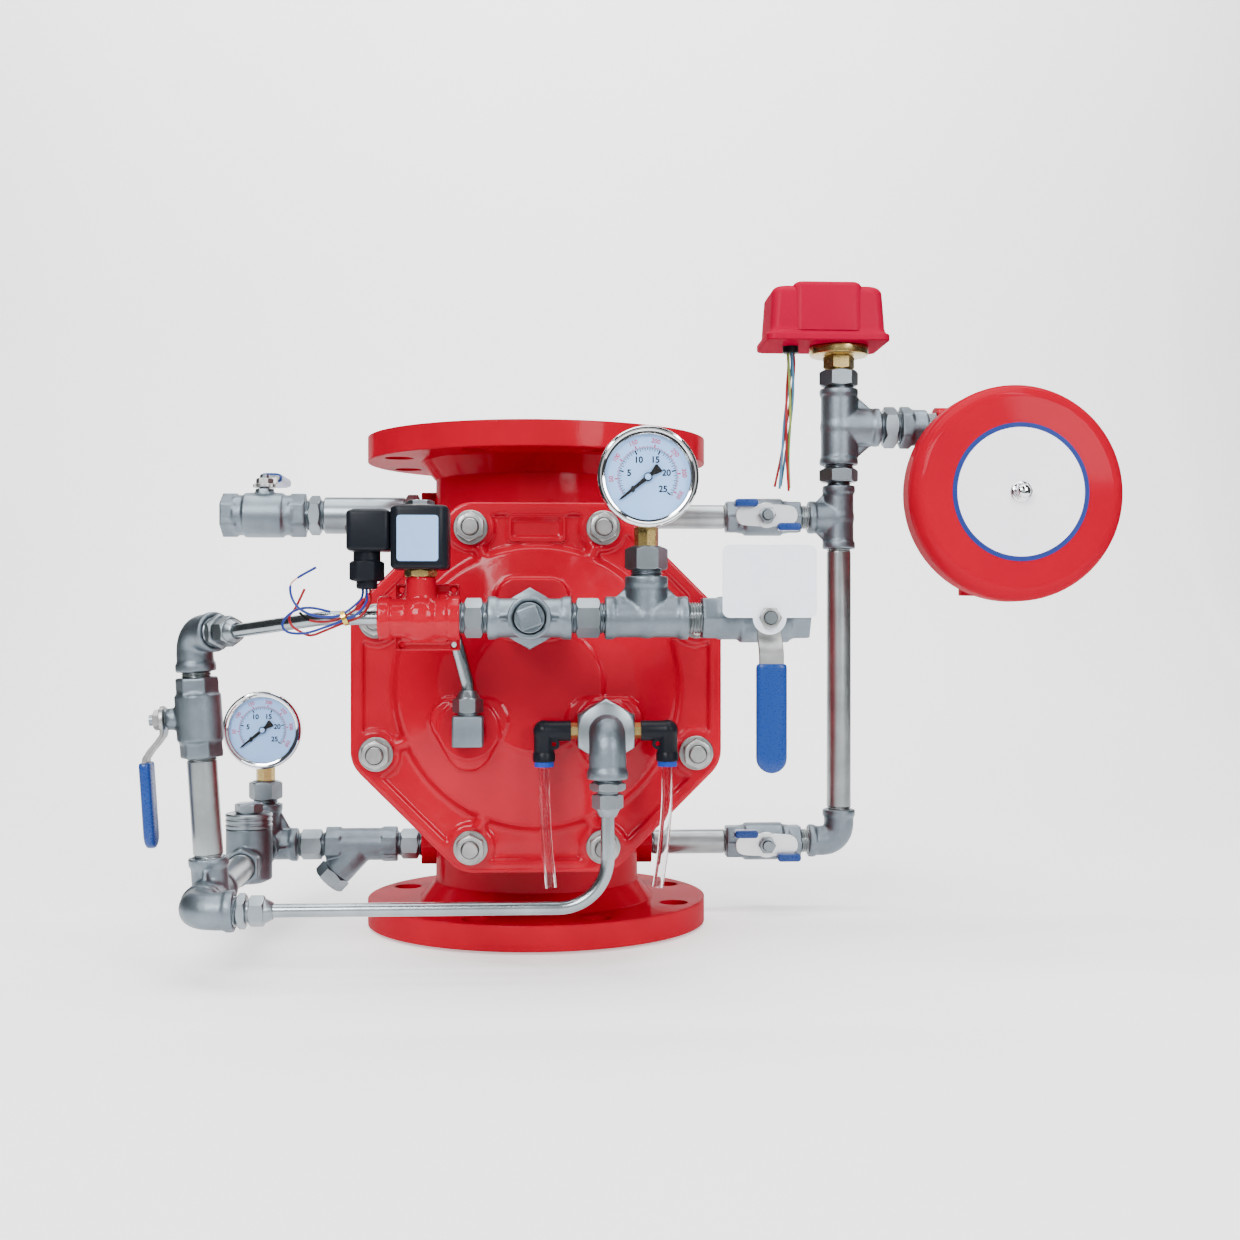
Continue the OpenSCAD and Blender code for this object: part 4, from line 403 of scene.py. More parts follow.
# Catmull-Rom curve through given points, as a dense line
def smoothPath(route, per=8):
    p = np.array(route, float)
    q = np.vstack([2 * p[0] - p[1], p, 2 * p[-1] - p[-2]])
    t = np.linspace(0, 1, per, endpoint=False)[:, None]
    parts = []
    for i in range(len(p) - 1):
        a, b, c, d = q[i:i + 4]
        parts.append(0.5 * (2 * b + (c - a) * t + (2 * a - 5 * b + 4 * c - d) * t ** 2
                            + (3 * b - a - 3 * c + d) * t ** 3))
    return np.vstack([*parts, p[-1:]])


# The outline of some digits from the built-in face as a thin solid, centred and of the given height
def figure(text, height, bold, thick=0.08):
    curve = bpy.data.curves.new("digits", "FONT")
    curve.body = text
    curve.extrude = thick
    curve.offset = bold
    holder = bpy.data.objects.new("digits", curve)
    mesh = holder.to_mesh()
    co = np.zeros(len(mesh.vertices) * 3, np.float32)
    mesh.vertices.foreach_get("co", co)
    co = co.reshape(-1, 3).astype(float)
    faces = [list(f.vertices) for f in mesh.polygons]
    holder.to_mesh_clear()
    bpy.data.objects.remove(holder)
    bpy.data.curves.remove(curve)
    low, high = co.min(axis=0), co.max(axis=0)
    co[:, :2] = (co[:, :2] - (low[:2] + high[:2]) / 2) * height / (high[1] - low[1])
    return co, faces


def placed(place, shape):
    points, faces = shape
    p = np.asarray(points, float)
    return (p @ place[:3, :3].T + place[:3, 3]) / 1000, faces


def finishMesh(mesh, angle):
    work = bmesh.new()
    work.from_mesh(mesh)
    bmesh.ops.remove_doubles(work, verts=work.verts, dist=1e-6)
    bmesh.ops.recalc_face_normals(work, faces=work.faces)
    work.to_mesh(mesh)
    work.free()
    mesh.polygons.foreach_set("use_smooth", np.ones(len(mesh.polygons), bool))
    mesh.set_sharp_from_angle(angle=math.radians(angle))
    mesh.update()


def addPiece(name, mesh, body, slot, replaced):
    piece = bpy.data.objects.new(name, mesh)
    bpy.context.scene.collection.objects.link(piece)
    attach(piece, body)
    if replaced:
        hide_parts(*replaced)
    return piece


# One mesh object from (placed surface, finish) parts, welded, facing outwards and smooth up to an angle
def makePiece(name, parts, body, slot, replaced=(), angle=32):
    used, points, faces, spots = [], [], [], []
    count = 0
    for (partPoints, partFaces), finish in parts:
        if finish not in used:
            used.append(finish)
        points.append(partPoints)
        faces += [[i + count for i in f] for f in partFaces]
        spots += [used.index(finish)] * len(partFaces)
        count += len(partPoints)
    mesh = bpy.data.meshes.new(name)
    mesh.from_pydata(np.vstack(points).tolist(), [], faces)
    for finish in used:
        mesh.materials.append(finishes[finish])
    mesh.polygons.foreach_set("material_index", np.array(spots, np.int32))
    finishMesh(mesh, angle)
    return addPiece(name, mesh, body, slot, replaced)


def camelName(node, tail=""):
    first, *rest = node.split("_")
    return first + "".join(w.title() for w in rest) + tail


# The loose solids of a CAD node as (lowest corner, highest corner in millimetres, points, faces)
def solidParts(node):
    mesh = nodes[node].data
    co = np.zeros(len(mesh.vertices) * 3, np.float32)
    mesh.vertices.foreach_get("co", co)
    co = co.reshape(-1, 3).astype(float)
    unique, weld = np.unique(np.round(co, 6), axis=0, return_inverse=True)
    faces = [[int(weld[i]) for i in f.vertices] for f in mesh.polygons]
    group = np.arange(len(unique))
    edges = np.array([(f[k - 1], f[k]) for f in faces for k in range(len(f))])
    while True:
        least = np.minimum(group[edges[:, 0]], group[edges[:, 1]])
        fresh = group.copy()
        np.minimum.at(fresh, edges[:, 0], least)
        np.minimum.at(fresh, edges[:, 1], least)
        fresh = fresh[fresh]
        if (fresh == group).all():
            break
        group = fresh
    for label in np.unique(group):
        own = np.flatnonzero(group == label)
        index = np.full(len(unique), -1)
        index[own] = np.arange(len(own))
        ownFaces = [[int(index[i]) for i in f] for f in faces if index[f[0]] >= 0]
        ownFaces = [f for f in ownFaces if len(set(f)) > 2]
        yield unique[own].min(axis=0) * 1000, unique[own].max(axis=0) * 1000, unique[own], ownFaces


# A welded copy of a CAD node stands in for it. choose is a finish, or gives one, or None to leave a solid out
def dressNode(node, choose, angle=28):
    parts = []
    for low, high, points, faces in solidParts(node):
        finish = choose(low, high) if callable(choose) else choose
        if finish:
            parts.append(((points, faces), finish))
    return makePiece(camelName(node), parts, bodyOf[node], slots[node], (node,), angle)


# The relaxed bore of the cover, along Y at height z0, is cleared again: a radius between near and wanted becomes
# the wanted one
def openBore(mesh, z0, wanted, near, front):
    co = np.zeros(len(mesh.vertices) * 3, np.float32)
    mesh.vertices.foreach_get("co", co)
    co = co.reshape(-1, 3).astype(float)
    r = np.hypot(co[:, 0], co[:, 2] - z0)
    inside = (r > near) & (r < wanted) & (co[:, 1] > front)
    scale = np.where(inside, wanted / np.maximum(r, 1e-6), 1)
    co[:, 0] *= scale
    co[:, 2] = z0 + (co[:, 2] - z0) * scale
    mesh.vertices.foreach_set("co", co.astype(np.float32).ravel())


# A CAD casting remade from small voxels and relaxed, so that its inner and outer corners are filleted
def castNode(node, finish, voxel, passes=6, keep=None, tail="", ease=None):
    parts = [(points, faces) for low, high, points, faces in solidParts(node) if keep is None or keep(low, high)]
    count, points, faces = 0, [], []
    for partPoints, partFaces in parts:
        points.append(partPoints)
        faces += [[i + count for i in f] for f in partFaces]
        count += len(partPoints)
    rough = bpy.data.meshes.new(camelName(node) + "Rough")
    rough.from_pydata(np.vstack(points).tolist(), [], faces)
    holder = bpy.data.objects.new("castHolder", rough)
    bpy.context.scene.collection.objects.link(holder)
    remesh = holder.modifiers.new("voxels", "REMESH")
    remesh.mode = "VOXEL"
    remesh.voxel_size = voxel
    relax = holder.modifiers.new("relax", "SMOOTH")
    relax.factor = 0.5
    relax.iterations = passes
    mesh = bpy.data.meshes.new_from_object(holder.evaluated_get(bpy.context.evaluated_depsgraph_get()))
    mesh.name = camelName(node, tail)
    bpy.data.objects.remove(holder)
    bpy.data.meshes.remove(rough)
    if ease:
        openBore(mesh, *ease)
    mesh.materials.clear()
    mesh.materials.append(finishes[finish])
    mesh.polygons.foreach_set("use_smooth", np.ones(len(mesh.polygons), bool))
    mesh.update()
    print("  cast", node, len(mesh.polygons), "faces")
    return addPiece(camelName(node, tail), mesh, bodyOf[node], slots[node], (node,))


# Cords: the points are those of the solid routes, in millimetres from each start; a band is (first point,
# finish, width)
switchLeads = {
    "start": (0.224, 0.060, 0.488), "diameter": 0.0022, "node": "switch_leads", "slot": "red_wire",
    "stiffness": "limp", "lay": "hanging",
    "bands": [[(0, "wireRed", 1)], [(0, "wirePale", 1)], [(0, "wireRed", 1)], [(0, "wireLime", 1)],
              [(0, "wirePale", 1)]],
    "routes": [
        [(2.8, 0, 0), (3.3, 0, -12), (1.6, 2.6, -34), (-2.8, 3.5, -60), (-7.8, 3, -90), (-14, 1.2, -118)],
        [(0.9, 2.7, 0), (1.4, 2.7, -12), (-1.9, 3.2, -34), (-5.4, 1.2, -60), (-7.7, -1, -90), (-10.3, -3.2, -120)],
        [(-2.3, 1.6, 0), (-1.8, 1.6, -12), (-3.5, 0, -34), (-4, -2.1, -60), (-3.9, -2.2, -90), (-2, -2.5, -122)],
        [(-2.3, -1.6, 0), (-1.8, -1.6, -12), (-1, -2.5, -34), (-0.5, -1.8, -60), (-1.6, 1.1, -90), (-0.7, 2.3, -119)],
        [(0.9, -2.7, 0), (1.4, -2.7, -12), (2.2, -0.9, -34), (0.3, 1.7, -60), (-4, 4.3, -90), (-8, 4.7, -117)],
    ],
}
coilLeads = {
    "start": (-0.113, -0.271, 0.271), "diameter": 0.0017, "node": "solenoid_leads", "slot": "blue_wire",
    "stiffness": "medium", "lay": "loose",
    "bands": [[(0, "wireBlue", 1)], [(0, "wireBlue", 1), (8, "copper", 0.55), (9, "wireBlue", 1)],
              [(0, "wireRed", 1), (5, "inkBlack", 1)], [(0, "wireRed", 1)]],
    "routes": [
        [(0.5, -2.4, 0), (0.5, -2.4, -3), (1, -7, -8), (-4, -11, -16), (-13, -11.5, -20.5), (-25, -11.5, -25),
         (-38, -11.5, -29), (-49, -11.5, -28.5), (-53, -11.5, -24), (-50, -11.5, -18), (-43, -11.5, -13.5),
         (-34, -11.5, -12.5), (-22, -11, -15)],
        [(-2.2, -0.3, 0), (-2.2, -0.3, -3), (-4, -5, -8), (-14, -11.5, -16.5), (-23, -13.5, -18.5),
         (-34, -14.5, -17), (-42, -14.5, -12.5), (-46.5, -14, -6), (-47.5, -13.5, 2), (-43, -13.5, 7),
         (-31, -13, 14)],
        [(0, 2.2, 0), (0, 2.2, -3), (-2, -3, -9), (-13, -8.2, -18), (-25, -8.5, -21.5), (-36, -9, -20.5),
         (-42.5, -8.5, -15.5)],
        [(2.6, 0.3, 0), (2.6, 0.3, -3), (3, -4, -9), (-3, -7.8, -18), (-13, -8.3, -22), (-25, -8.3, -27),
         (-35, -8.3, -30.5), (-42, -8.2, -28), (-47.5, -8.2, -24), (-49, -8.2, -18), (-45, -8.5, -12.5),
         (-39, -9, 0)],
    ],
}
dripTubes = {
    "start": (0, 0, 0.1465), "diameter": 0.008, "bore": 0.0055,
    "routes": [
        [(5, -199.5, 0), (5, -199.5, -14), (5.5, -199.5, -30), (6.5, -200, -48), (8, -201, -66), (10, -202, -86)],
        [(93, -199.5, 0), (93, -199.5, -14), (92.5, -199.5, -30), (91, -200, -48), (89, -201, -66), (86, -202, -86)],
    ],
}


# A lead is one round sweep for each band of colour along a curve through its points
def makeLeads(family, settings):
    for i, (route, bands) in enumerate(zip(settings["routes"], settings["bands"])):
        path = smoothPath(np.array(settings["start"]) + np.array(route, float) / 1000, 6)
        ends = [b[0] * 6 for b in bands[1:]] + [len(path) - 1]
        parts = []
        for (first, finish, width), last in zip(bands, ends):
            parts.append((sweepTube(path[first * 6:last + 1], settings["diameter"] / 2 * width, 10), finish))
        lead = makePiece(f"{family}{i + 1}", parts, "valve", settings["slot"], (settings["node"],))


makeLeads("switchLead", switchLeads)
makeLeads("coilLead", coilLeads)

# A drip tube is an outer and an inner sweep joined by a ring at each end
for i, route in enumerate(dripTubes["routes"]):
    path = smoothPath(np.array(dripTubes["start"]) + np.array(route, float) / 1000, 6)
    outer, faces = sweepTube(path, dripTubes["diameter"] / 2, 20)
    inner, _ = sweepTube(path, dripTubes["bore"] / 2, 20)
    n = len(outer)
    walls = faces[:-2]
    rims = [[s + k, s + (k + 1) % 20, n + s + (k + 1) % 20, n + s + k] for s in (0, n - 20) for k in range(20)]
    shape = (np.vstack([outer, inner]), walls + [[j + n for j in f] for f in walls] + rims)
    tube = makePiece(f"dripTube{i + 1}", [(shape, "clearTube")], "valve", "clear_tube", ("drip_tubes",))
print("cords laid")

# Castings: the cover and the small ones are filleted all over, the big body keeps its exact faces
# A row is (node, finish, voxel, passes, which solids, name's end, bore to clear)
castings = [
    ("cover", "softRed", 0.0014, 3, None, "", (0.202, 0.0088, 0.0066, -0.1785)),
    ("solenoid_body", "softRed", 0.0009, 6, None, "", None),
    ("pipe_fittings", "castSteel", 0.0012, 5, lambda low, high: high[0] < -100, "Left", None),
    ("pipe_fittings", "castSteel", 0.0012, 5, lambda low, high: -100 <= high[0] < 120, "Front", None),
    ("pipe_fittings", "castSteel", 0.0012, 5, lambda low, high: high[0] >= 120, "Right", None),
    ("lever_valve_bodies", "castSteel", 0.0010, 5, None, "", None),
    ("wing_valve_bodies", "castSteel", 0.0010, 5, None, "", None),
    ("strainer_body", "castSteel", 0.0009, 5, None, "", None),
    ("check_valve_body", "castSteel", 0.0009, 5, None, "", None),
]
for casting in castings:
    castNode(*casting)

# The raised frame of the cover, over the relaxed one: rings of (width, depth, height)
nameFrame = {
    "middle": 116, "corner": 3.2,
    "rings": [(42.7, 20.7, 169.6), (42.2, 20.2, 171.5), (41.4, 19.4, 172.2), (38.0, 16.0, 172.2), (37.2, 15.2, 171.5),
              (36.7, 14.7, 169.6)],
}
frameRings = np.array([roundedRing(w, d, nameFrame["corner"], z) for w, d, z in nameFrame["rings"]])
frameSpot = coverFrame @ move(0, nameFrame["middle"], 0)
makePiece("nameFrame", [(placed(frameSpot, capped(frameRings, True)), "softRed")], "valve", slots["cover"])
print("castings made")

# Pieces that keep the shape of their solid
plainNodes = {
    "valve_body": "castRed", "motor_housing": "castRed", "diaphragm": "rubber", "seat_ring": "brass",
    "lift_disc": "turnedSteel", "lift_spring": "nutSteel", "pilot_tubes": "tubeSteel", "push_in_stems": "brass",
    "solenoid_plunger": "darkMetal", "gauge_stems": "brass", "ball_seats": "sealWhite", "manual_ball": "nutSteel",
    "left_ball": "nutSteel", "drain_ball": "nutSteel", "upper_wing_ball": "nutSteel", "lower_wing_ball": "nutSteel",
    "strainer_screen": "darkMetal", "check_flapper": "brass", "striker": "darkMetal",
}
for node, finish in plainNodes.items():
    dressNode(node, finish)
print("plain pieces made")

# Cover fasteners: eight turned washers, chamfered nuts and screwed stud ends on one circle
fasteners = {"circle": 126, "first": 22.5, "washer": (6.6, 12.5, 173, 175.5), "nut": (19, 175.5, 185.5),
             "stud": (6, 130, 188.5, 183)}


def makeFasteners(s):
    studs, nuts, washers = [], [], []
    inner, outer, low, high = s["washer"]
    rim = [(inner, low), (outer - 0.3, low), (outer, low + 0.3), (outer, high - 0.5), (outer - 0.5, high),
           (inner, high)]
    radius, bottom, top, thread = s["stud"]
    for k in range(8):
        spot = coverFrame @ turn("z", s["first"] + 45 * k) @ move(s["circle"], 0, 0)
        washers.append((placed(spot @ turn("z", 30), turned(rim, 48, closed=True)), "zincPlain"))
        nuts.append((placed(spot @ turn("z", 17 * k), nut(*s["nut"], bore=radius - 0.1)), "zincPlain"))
        studs.append((placed(spot, threaded(radius, bottom, top, 1.75, 0.8, (bottom + 1, thread))), "zincPlain"))
    makePiece("coverStuds", studs, "valve", slots["cover_studs"], ("cover_studs",))
    makePiece("coverNuts", nuts, "valve", slots["cover_nuts"], ("cover_nuts",))
    makePiece("coverWashers", washers, "valve", slots["cover_washers"], ("cover_washers",))


makeFasteners(fasteners)

# Screwed work: nipples as (frame, start, direction, gap, flats, end diameters), pipes as (frame, start, direction,
# length, diameter)
world = np.eye(4)
screwed = {
    "thread": 11, "pitch": 1.81, "depth": 0.9, "side": 3,
    "nipples": [
        (world, (-51, -271, 252), (1, 0, 0), 18, 23, (21.3, 21.3)),
        (world, (23, -271, 252), (1, 0, 0), 22, 23, (21.3, 21.3)),
        (world, (-207, 60, 57), (1, 0, 0), 24, 23, (21.3, 21.3)),
        (world, (-121, 60, 57), (1, 0, 0), 21, 23, (21.3, 21.3)),
        (world, (-200, 60, 343), (1, 0, 0), 16, 30, (26.7, 26.7)),
        (leftFrame, (0, -28, 0), (0, -1, 0), 14, 23, (21.3, 21.3)),
        (world, (267, 60, 371), (0, 0, 1), 18, 30, (21.3, 26.7)),
        (world, (303, 60, 423), (1, 0, 0), 18, 32, (26.7, 26.7)),
    ],
    "pipes": [
        (world, (101, -271, 252), (1, 0, 0), 9, 21.3), (world, (100, 60, 57), (1, 0, 0), 66, 21.3),
        (world, (100, 60, 343), (1, 0, 0), 66, 21.3), (world, (232, 60, 57), (1, 0, 0), 7, 21.3),
        (world, (232, 60, 343), (1, 0, 0), 7, 21.3), (world, (267, 60, 85), (0, 0, 1), 230, 21.3),
        (world, (345, 60, 423), (1, 0, 0), 8, 26.7), (riserFrame, (0, 0, 28), (0, 0, 1), 72, 21.3),
        (riserFrame, (0, 0, 158), (0, 0, 1), 4, 21.3), (leftFrame, (0, -118, 0), (0, -1, 0), 84, 21.3),
        (leftFrame, (0, -258, 0), (0, -1, 0), 2, 21.3),
    ],
}


def makeScrewed(s):
    nipples, pipes = [], []
    reach = s["thread"] - 1
    for base, start, axis, gap, flats, (first, second) in s["nipples"]:
        spot = base @ aim(start, axis)
        middle = gap / 2
        nipples.append((placed(spot, nut(flats, s["side"], gap - s["side"])), "nutSteel"))
        nipples.append((placed(spot, threaded(first / 2, -reach, middle, s["pitch"], s["depth"])), "nutSteel"))
        nipples.append((placed(spot, threaded(second / 2, middle, gap + reach, s["pitch"], s["depth"])), "nutSteel"))
    for base, start, axis, length, across in s["pipes"]:
        smooth = (3.2, length - 3.2) if length > 20 else ()
        rod = threaded(across / 2, -reach, length + reach, s["pitch"], s["depth"], smooth, 48)
        finish = "pipeX" if axis[0] else "pipeY" if axis[1] else "pipeZ"
        pipes.append((placed(base @ aim(start, axis), rod), finish))
    makePiece("hexNipples", nipples, "valve", slots["hex_nipples"], ("hex_nipples",))
    makePiece("trimPipes", pipes, "valve", slots["trim_pipes"], ("trim_pipes",))


makeScrewed(screwed)

# Bushings: the front plug, two gauge adapters, the reducer under the switch, the cover bushing and the drain
# bushing with its long collar
bushings = {
    "adapters": [move(73, -271, 280), leftFrame @ move(0, 0, 36)], "plugPlace": (-5, -299, 252), "plugHead": 14,
    "reducerPlace": (267, 60, 457), "coverPlace": (-5, -189, 252), "drainPlace": (-100, 60, 343),
    "adapterRim": [(0, 18), (10.6, 18), (10.6, 19.6), (10.2, 20), (0, 20)],
    "plugRim": [(0, 0), (10.0, 0), (10.0, 0.8), (9.4, 1.4), (0, 1.4)],
    "collar": [(0, 10), (15, 10), (15, 14.4), (16, 15.4), (16, 83), (15.2, 84), (0, 84)],
}


def makeBushings(s):
    parts = []
    for spot in s["adapters"]:
        parts.append((placed(spot, threaded(10.65, -9, 4.2)), "nutSteel"))
        parts.append((placed(spot, nut(25, 4, 19.2)), "nutSteel"))
        parts.append((placed(spot, turned(s["adapterRim"], 48)), "nutSteel"))
    plug = aim(s["plugPlace"], (0, -1, 0))
    parts.append((placed(plug, threaded(9.9, -10, 0.4)), "nutSteel"))
    parts.append((placed(plug, turned(s["plugRim"], 48)), "castSteel"))
    head = pillow(s["plugHead"], s["plugHead"], 0.5, 9, 1.8, 1.2)
    parts.append((placed(plug @ turn("z", 20), head), "castSteel"))
    reducer = move(*s["reducerPlace"])
    parts.append((placed(reducer, threaded(13.35, -9, 2.5)), "nutSteel"))
    parts.append((placed(reducer, nut(30, 2, 16)), "nutSteel"))
    cover = aim(s["coverPlace"], (0, -1, 0))
    parts.append((placed(cover, threaded(10.65, -9, 65)), "nutSteel"))
    parts.append((placed(cover, nut(38, 2, 22)), "castSteel"))
    drain = aim(s["drainPlace"], (-1, 0, 0))
    parts.append((placed(drain, threaded(13.35, -9, 3)), "nutSteel"))
    parts.append((placed(drain, nut(32, 2, 14)), "nutSteel"))
    parts.append((placed(drain, turned(s["collar"], 64)), "nutSteel"))
    makePiece("hexBushings", parts, "valve", slots["hex_bushings"], ("hex_bushings",))


makeBushings(bushings)

# Compression fittings: a chamfered hex on each connector, a turned neck, the tube nut, and the square block elbow
slant = (math.cos(math.radians(45)), -math.sin(math.radians(45)), 0)
tubing = {
    "connectors": [leftFrame @ aim((28, -288, 0), (1, 0, 0)),
                   riserFrame @ aim((28 * slant[0], 28 * slant[1], 190), slant),
                   aim((49, -227.94, 140), (0, 0, -1))],
    "block": (-49, -200, 172), "blockWidth": 22, "tube": 4.75,
}


def makeTubing(s):
    bodies, nuts = [], []
    back = [(s["tube"], 10.6), (8.2, 10.6), (8.8, 11.4), (8.8, 20.5), (8.0, 22), (6.6, 25), (5.8, 26), (s["tube"], 26)]
    neck = [(s["tube"], 7), (7.5, 7), (7.5, 12), (s["tube"], 12)]
    for spot in [*s["connectors"], move(*s["block"]) @ move(0, 0, 3)]:
        nuts.append((placed(spot, turned(back, 72, 19, closed=True)), "nutSteel"))
        nuts.append((placed(spot, nut(19, 10, 20.5, s["tube"])), "nutSteel"))
    for spot in s["connectors"]:
        bodies.append((placed(spot, threaded(10.65, -9, 2.4)), "nutSteel"))
        bodies.append((placed(spot, nut(22, 2, 8, s["tube"])), "nutSteel"))
        bodies.append((placed(spot, turned(neck, 48, closed=True)), "nutSteel"))
    block, w = move(*s["block"]), s["blockWidth"]
    bodies.append((placed(block, pillow(w, w, -w / 2, w / 2, 2.2, 1.4)), "castSteel"))
    bodies.append((placed(block, turned([(0, 8), (7.5, 8), (7.5, 15), (0, 15)], 48)), "nutSteel"))
    bodies.append((placed(block @ turn("x", -90), threaded(10.65, 8, 20)), "nutSteel"))
    makePiece("tubeFittings", bodies, "valve", slots["tube_fittings"], ("tube_fittings",))
    makePiece("tubeNuts", nuts, "valve", slots["tube_nuts"], ("tube_nuts",))


makeTubing(tubing)

# Drip block, and the push-in elbows: black bodies, each with a sleeve, a pale ring and a blue release ring
drip = {
    "block": (49, -189, 172), "flats": 40, "length": 21, "elbows": (5, 93), "elbowY": -199.5, "mouthZ": 150,
    "sleeve": [(4.3, 0), (7.0, 0), (7.9, 0.6), (7.9, 6), (7.3, 7), (4.3, 7)],
    "ring": [(4.3, -1.2), (6.4, -1.2), (6.8, -0.8), (6.8, 0.2), (4.3, 0.2)],
}


def makeDrip(s):
    block = aim(s["block"], (0, -1, 0))
    parts = [(placed(block, nut(s["flats"], 0, s["length"], chamfers=(False, True))), "turnedSteel"),
             (placed(block, threaded(10.65, -10, 1)), "turnedSteel")]
    makePiece("dripBlock", parts, "valve", slots["drip_block"], ("drip_block",))
    elbows = dressNode("push_in_elbows", "blackPlastic")
    mesh = elbows.data
    mesh.materials.append(finishes["collarBlue"])
    blue = [f.center.z * 1000 < s["mouthZ"] - 0.05 for f in mesh.polygons]
    mesh.polygons.foreach_set("material_index", np.array(blue, np.int32))
    rings = []
    for x in s["elbows"]:
        spot = move(x, s["elbowY"], s["mouthZ"])
        rings.append((placed(spot, turned(s["sleeve"], 48, closed=True)), "blackPlastic"))
        rings.append((placed(spot, turned(s["ring"], 48, closed=True)), "collarPale"))
    makePiece("pushInRings", rings, "valve", slots["push_in_elbows"], ("push_in_elbows",))


makeDrip(drip)

# Solenoid: brass and steel hexes of the core tube, the rounded coil with its bare label, the plug and gland
solenoid = {
    "place": (-77, -271, 284), "width": 38, "height": 42, "label": (27, 30), "plug": (-110.5, -271, 0),
    "plugZ": (296, 323), "screw": (-125, -271, 311),
    "core": [(0, -17), (6.5, -17), (6.5, 42), (0, 42)],
    "screwHead": [(0, -1), (3.4, -1), (3.4, 0.8), (2.6, 1.6), (0, 1.8)],
    "gland": [(0, 271), (5.2, 271), (6.6, 271.6), (7, 272.6), (7, 276.2), (8.5, 276.2), (8.5, 289.6), (8.9, 290),
              (8.9, 296.5), (0, 296.5)],
}


def makeSolenoid(s):
    spot = move(*s["place"])
    core = [(placed(spot, turned(s["core"], 40)), "brass"),
            (placed(spot, nut(19, -5, 0)), "brass"), (placed(spot, nut(16, 42, 46)), "nutSteel")]
    makePiece("coreTube", core, "valve", slots["core_tube"], ("core_tube",))
    w, h = s["width"], s["height"]
    rim = [(0, h - 0.5), (11, h - 0.5), (11, h + 0.5), (10.5, h + 0.9), (0, h + 0.9)]
    coil = [(placed(spot, pillow(w, w, 0, h, 7, 3)), "blackPlastic"), (placed(spot, turned(rim, 48)), "darkMetal")]
    label = slab(roundedRing(s["label"][0], s["label"][1], 2.2, 0)[:, :2], 0, 0.35, 0.15)
    coil.append((placed(spot @ move(-0.8, -w / 2, h / 2 - 1) @ turn("x", 90), label), "labelWhite"))
    makePiece("solenoidCoil", coil, "valve", slots["solenoid_coil"], ("solenoid_coil",))
    plug = move(*s["plug"])
    low, high = s["plugZ"]
    parts = [(placed(plug, pillow(29, 28, low, high, 4.5, 2.6)), "blackPlastic"),
             (placed(plug, pillow(24, 22, low + 3, high + 0.8, 4, 1.5)), "blackPlastic")]
    middle = plug @ move(-2, 0, 0)
    parts.append((placed(middle, turned(s["gland"], 48)), "blackPlastic"))
    parts.append((placed(middle, nut(20, 276.5, 289.6)), "blackPlastic"))
    screw = move(*s["screw"]) @ turn("y", -90)
    parts.append((placed(screw, turned(s["screwHead"], 32)), "zincPlain"))
    makePiece("coilConnector", parts, "valve", slots["coil_connector"], ("coil_connector",))


makeSolenoid(solenoid)

# Gauges, worked out facing the viewer: x right, y up, third axis outwards. inner and outer are where the black and
# red ticks start and end, long ones first, and bold is how much the digits are thickened
gauge = {
    "case": [(0, -8), (27, -8), (30, -7.2), (31.6, -5.4), (32, -3), (32, 12.6), (33.2, 13.4), (33.5, 14), (33.5, 18.0),
             (33.3, 18.9), (32.7, 19.6), (31.8, 20), (30.9, 19.9), (30.3, 19.4), (30.0, 18.7), (29.4, 18.5),
             (28.7, 18.3), (28.1, 17.6), (27.9, 16.5), (27.9, 14.2), (0, 14.2)],
    "zero": 219, "sweep": 257, "bar": 25, "inner": (16.3, 17.2, 17.9, 19.2), "outer": (19.7, 20.6, 21.2, 21.9),
    "face": 14.35, "ink": 14.47, "black": 12.7, "red": 24.3, "psiPerBar": 14.5,
    "blackDigits": (4.4, 0.03), "redDigits": (3.0, 0.018), "blackWidth": (0.95, 0.42), "redWidth": (0.8, 0.45),
    "needle": [(-10, 2.6), (-8.8, 3.2), (-4, 1.4), (0, 1.5), (22, 0.75), (24.6, 0.2)],
    "hub": [(0, 0.5), (1.2, 0.5), (1.2, 15.4), (2.9, 15.4), (2.9, 16.7), (0, 16.7)],
    "cap": [(0, 16.5), (2.1, 16.5), (2.1, 16.85), (1.9, 17.0), (0, 17.0)],
    "lens": [(0, 17.5), (28.0, 17.5), (28.0, 18.1), (0, 18.1)],
}


def dialAngle(s, bar):
    return math.radians(s["zero"] - s["sweep"] * bar / s["bar"])


def tick(s, bar, inner, outer, width):
    a = dialAngle(s, bar)
    along = np.array([math.cos(a), math.sin(a)])
    across = np.array([-math.sin(a), math.cos(a)]) * width / 2
    outline = [along * inner - across, along * outer - across, along * outer + across, along * inner + across]
    return slab(outline, s["face"] - 0.1, s["ink"], 0.01)


# An arc of the scale is a thin strip between two radii over the whole sweep
def scaleArc(s, radius, width):
    a = np.radians(s["zero"] - s["sweep"] * np.linspace(0, 1, 90))
    near, far, low = radius - width / 2, radius + width / 2, s["face"] - 0.1
    section = [(near, low), (far, low), (far, s["ink"]), (near, s["ink"])]
    return capped(np.array([[(r * math.cos(t), r * math.sin(t), z) for r, z in section] for t in a]), False)


# A number of the scale, its middle at a radius and, where asked, its foot towards the dial's middle
def scaleNumber(s, spot, bar, text, radius, digits, upright):
    a = dialAngle(s, bar)
    place = spot @ move(radius * math.cos(a), radius * math.sin(a), s["face"])
    if not upright:
        place = place @ turn("z", math.degrees(a) - 90)
    return placed(place, figure(text, *digits))


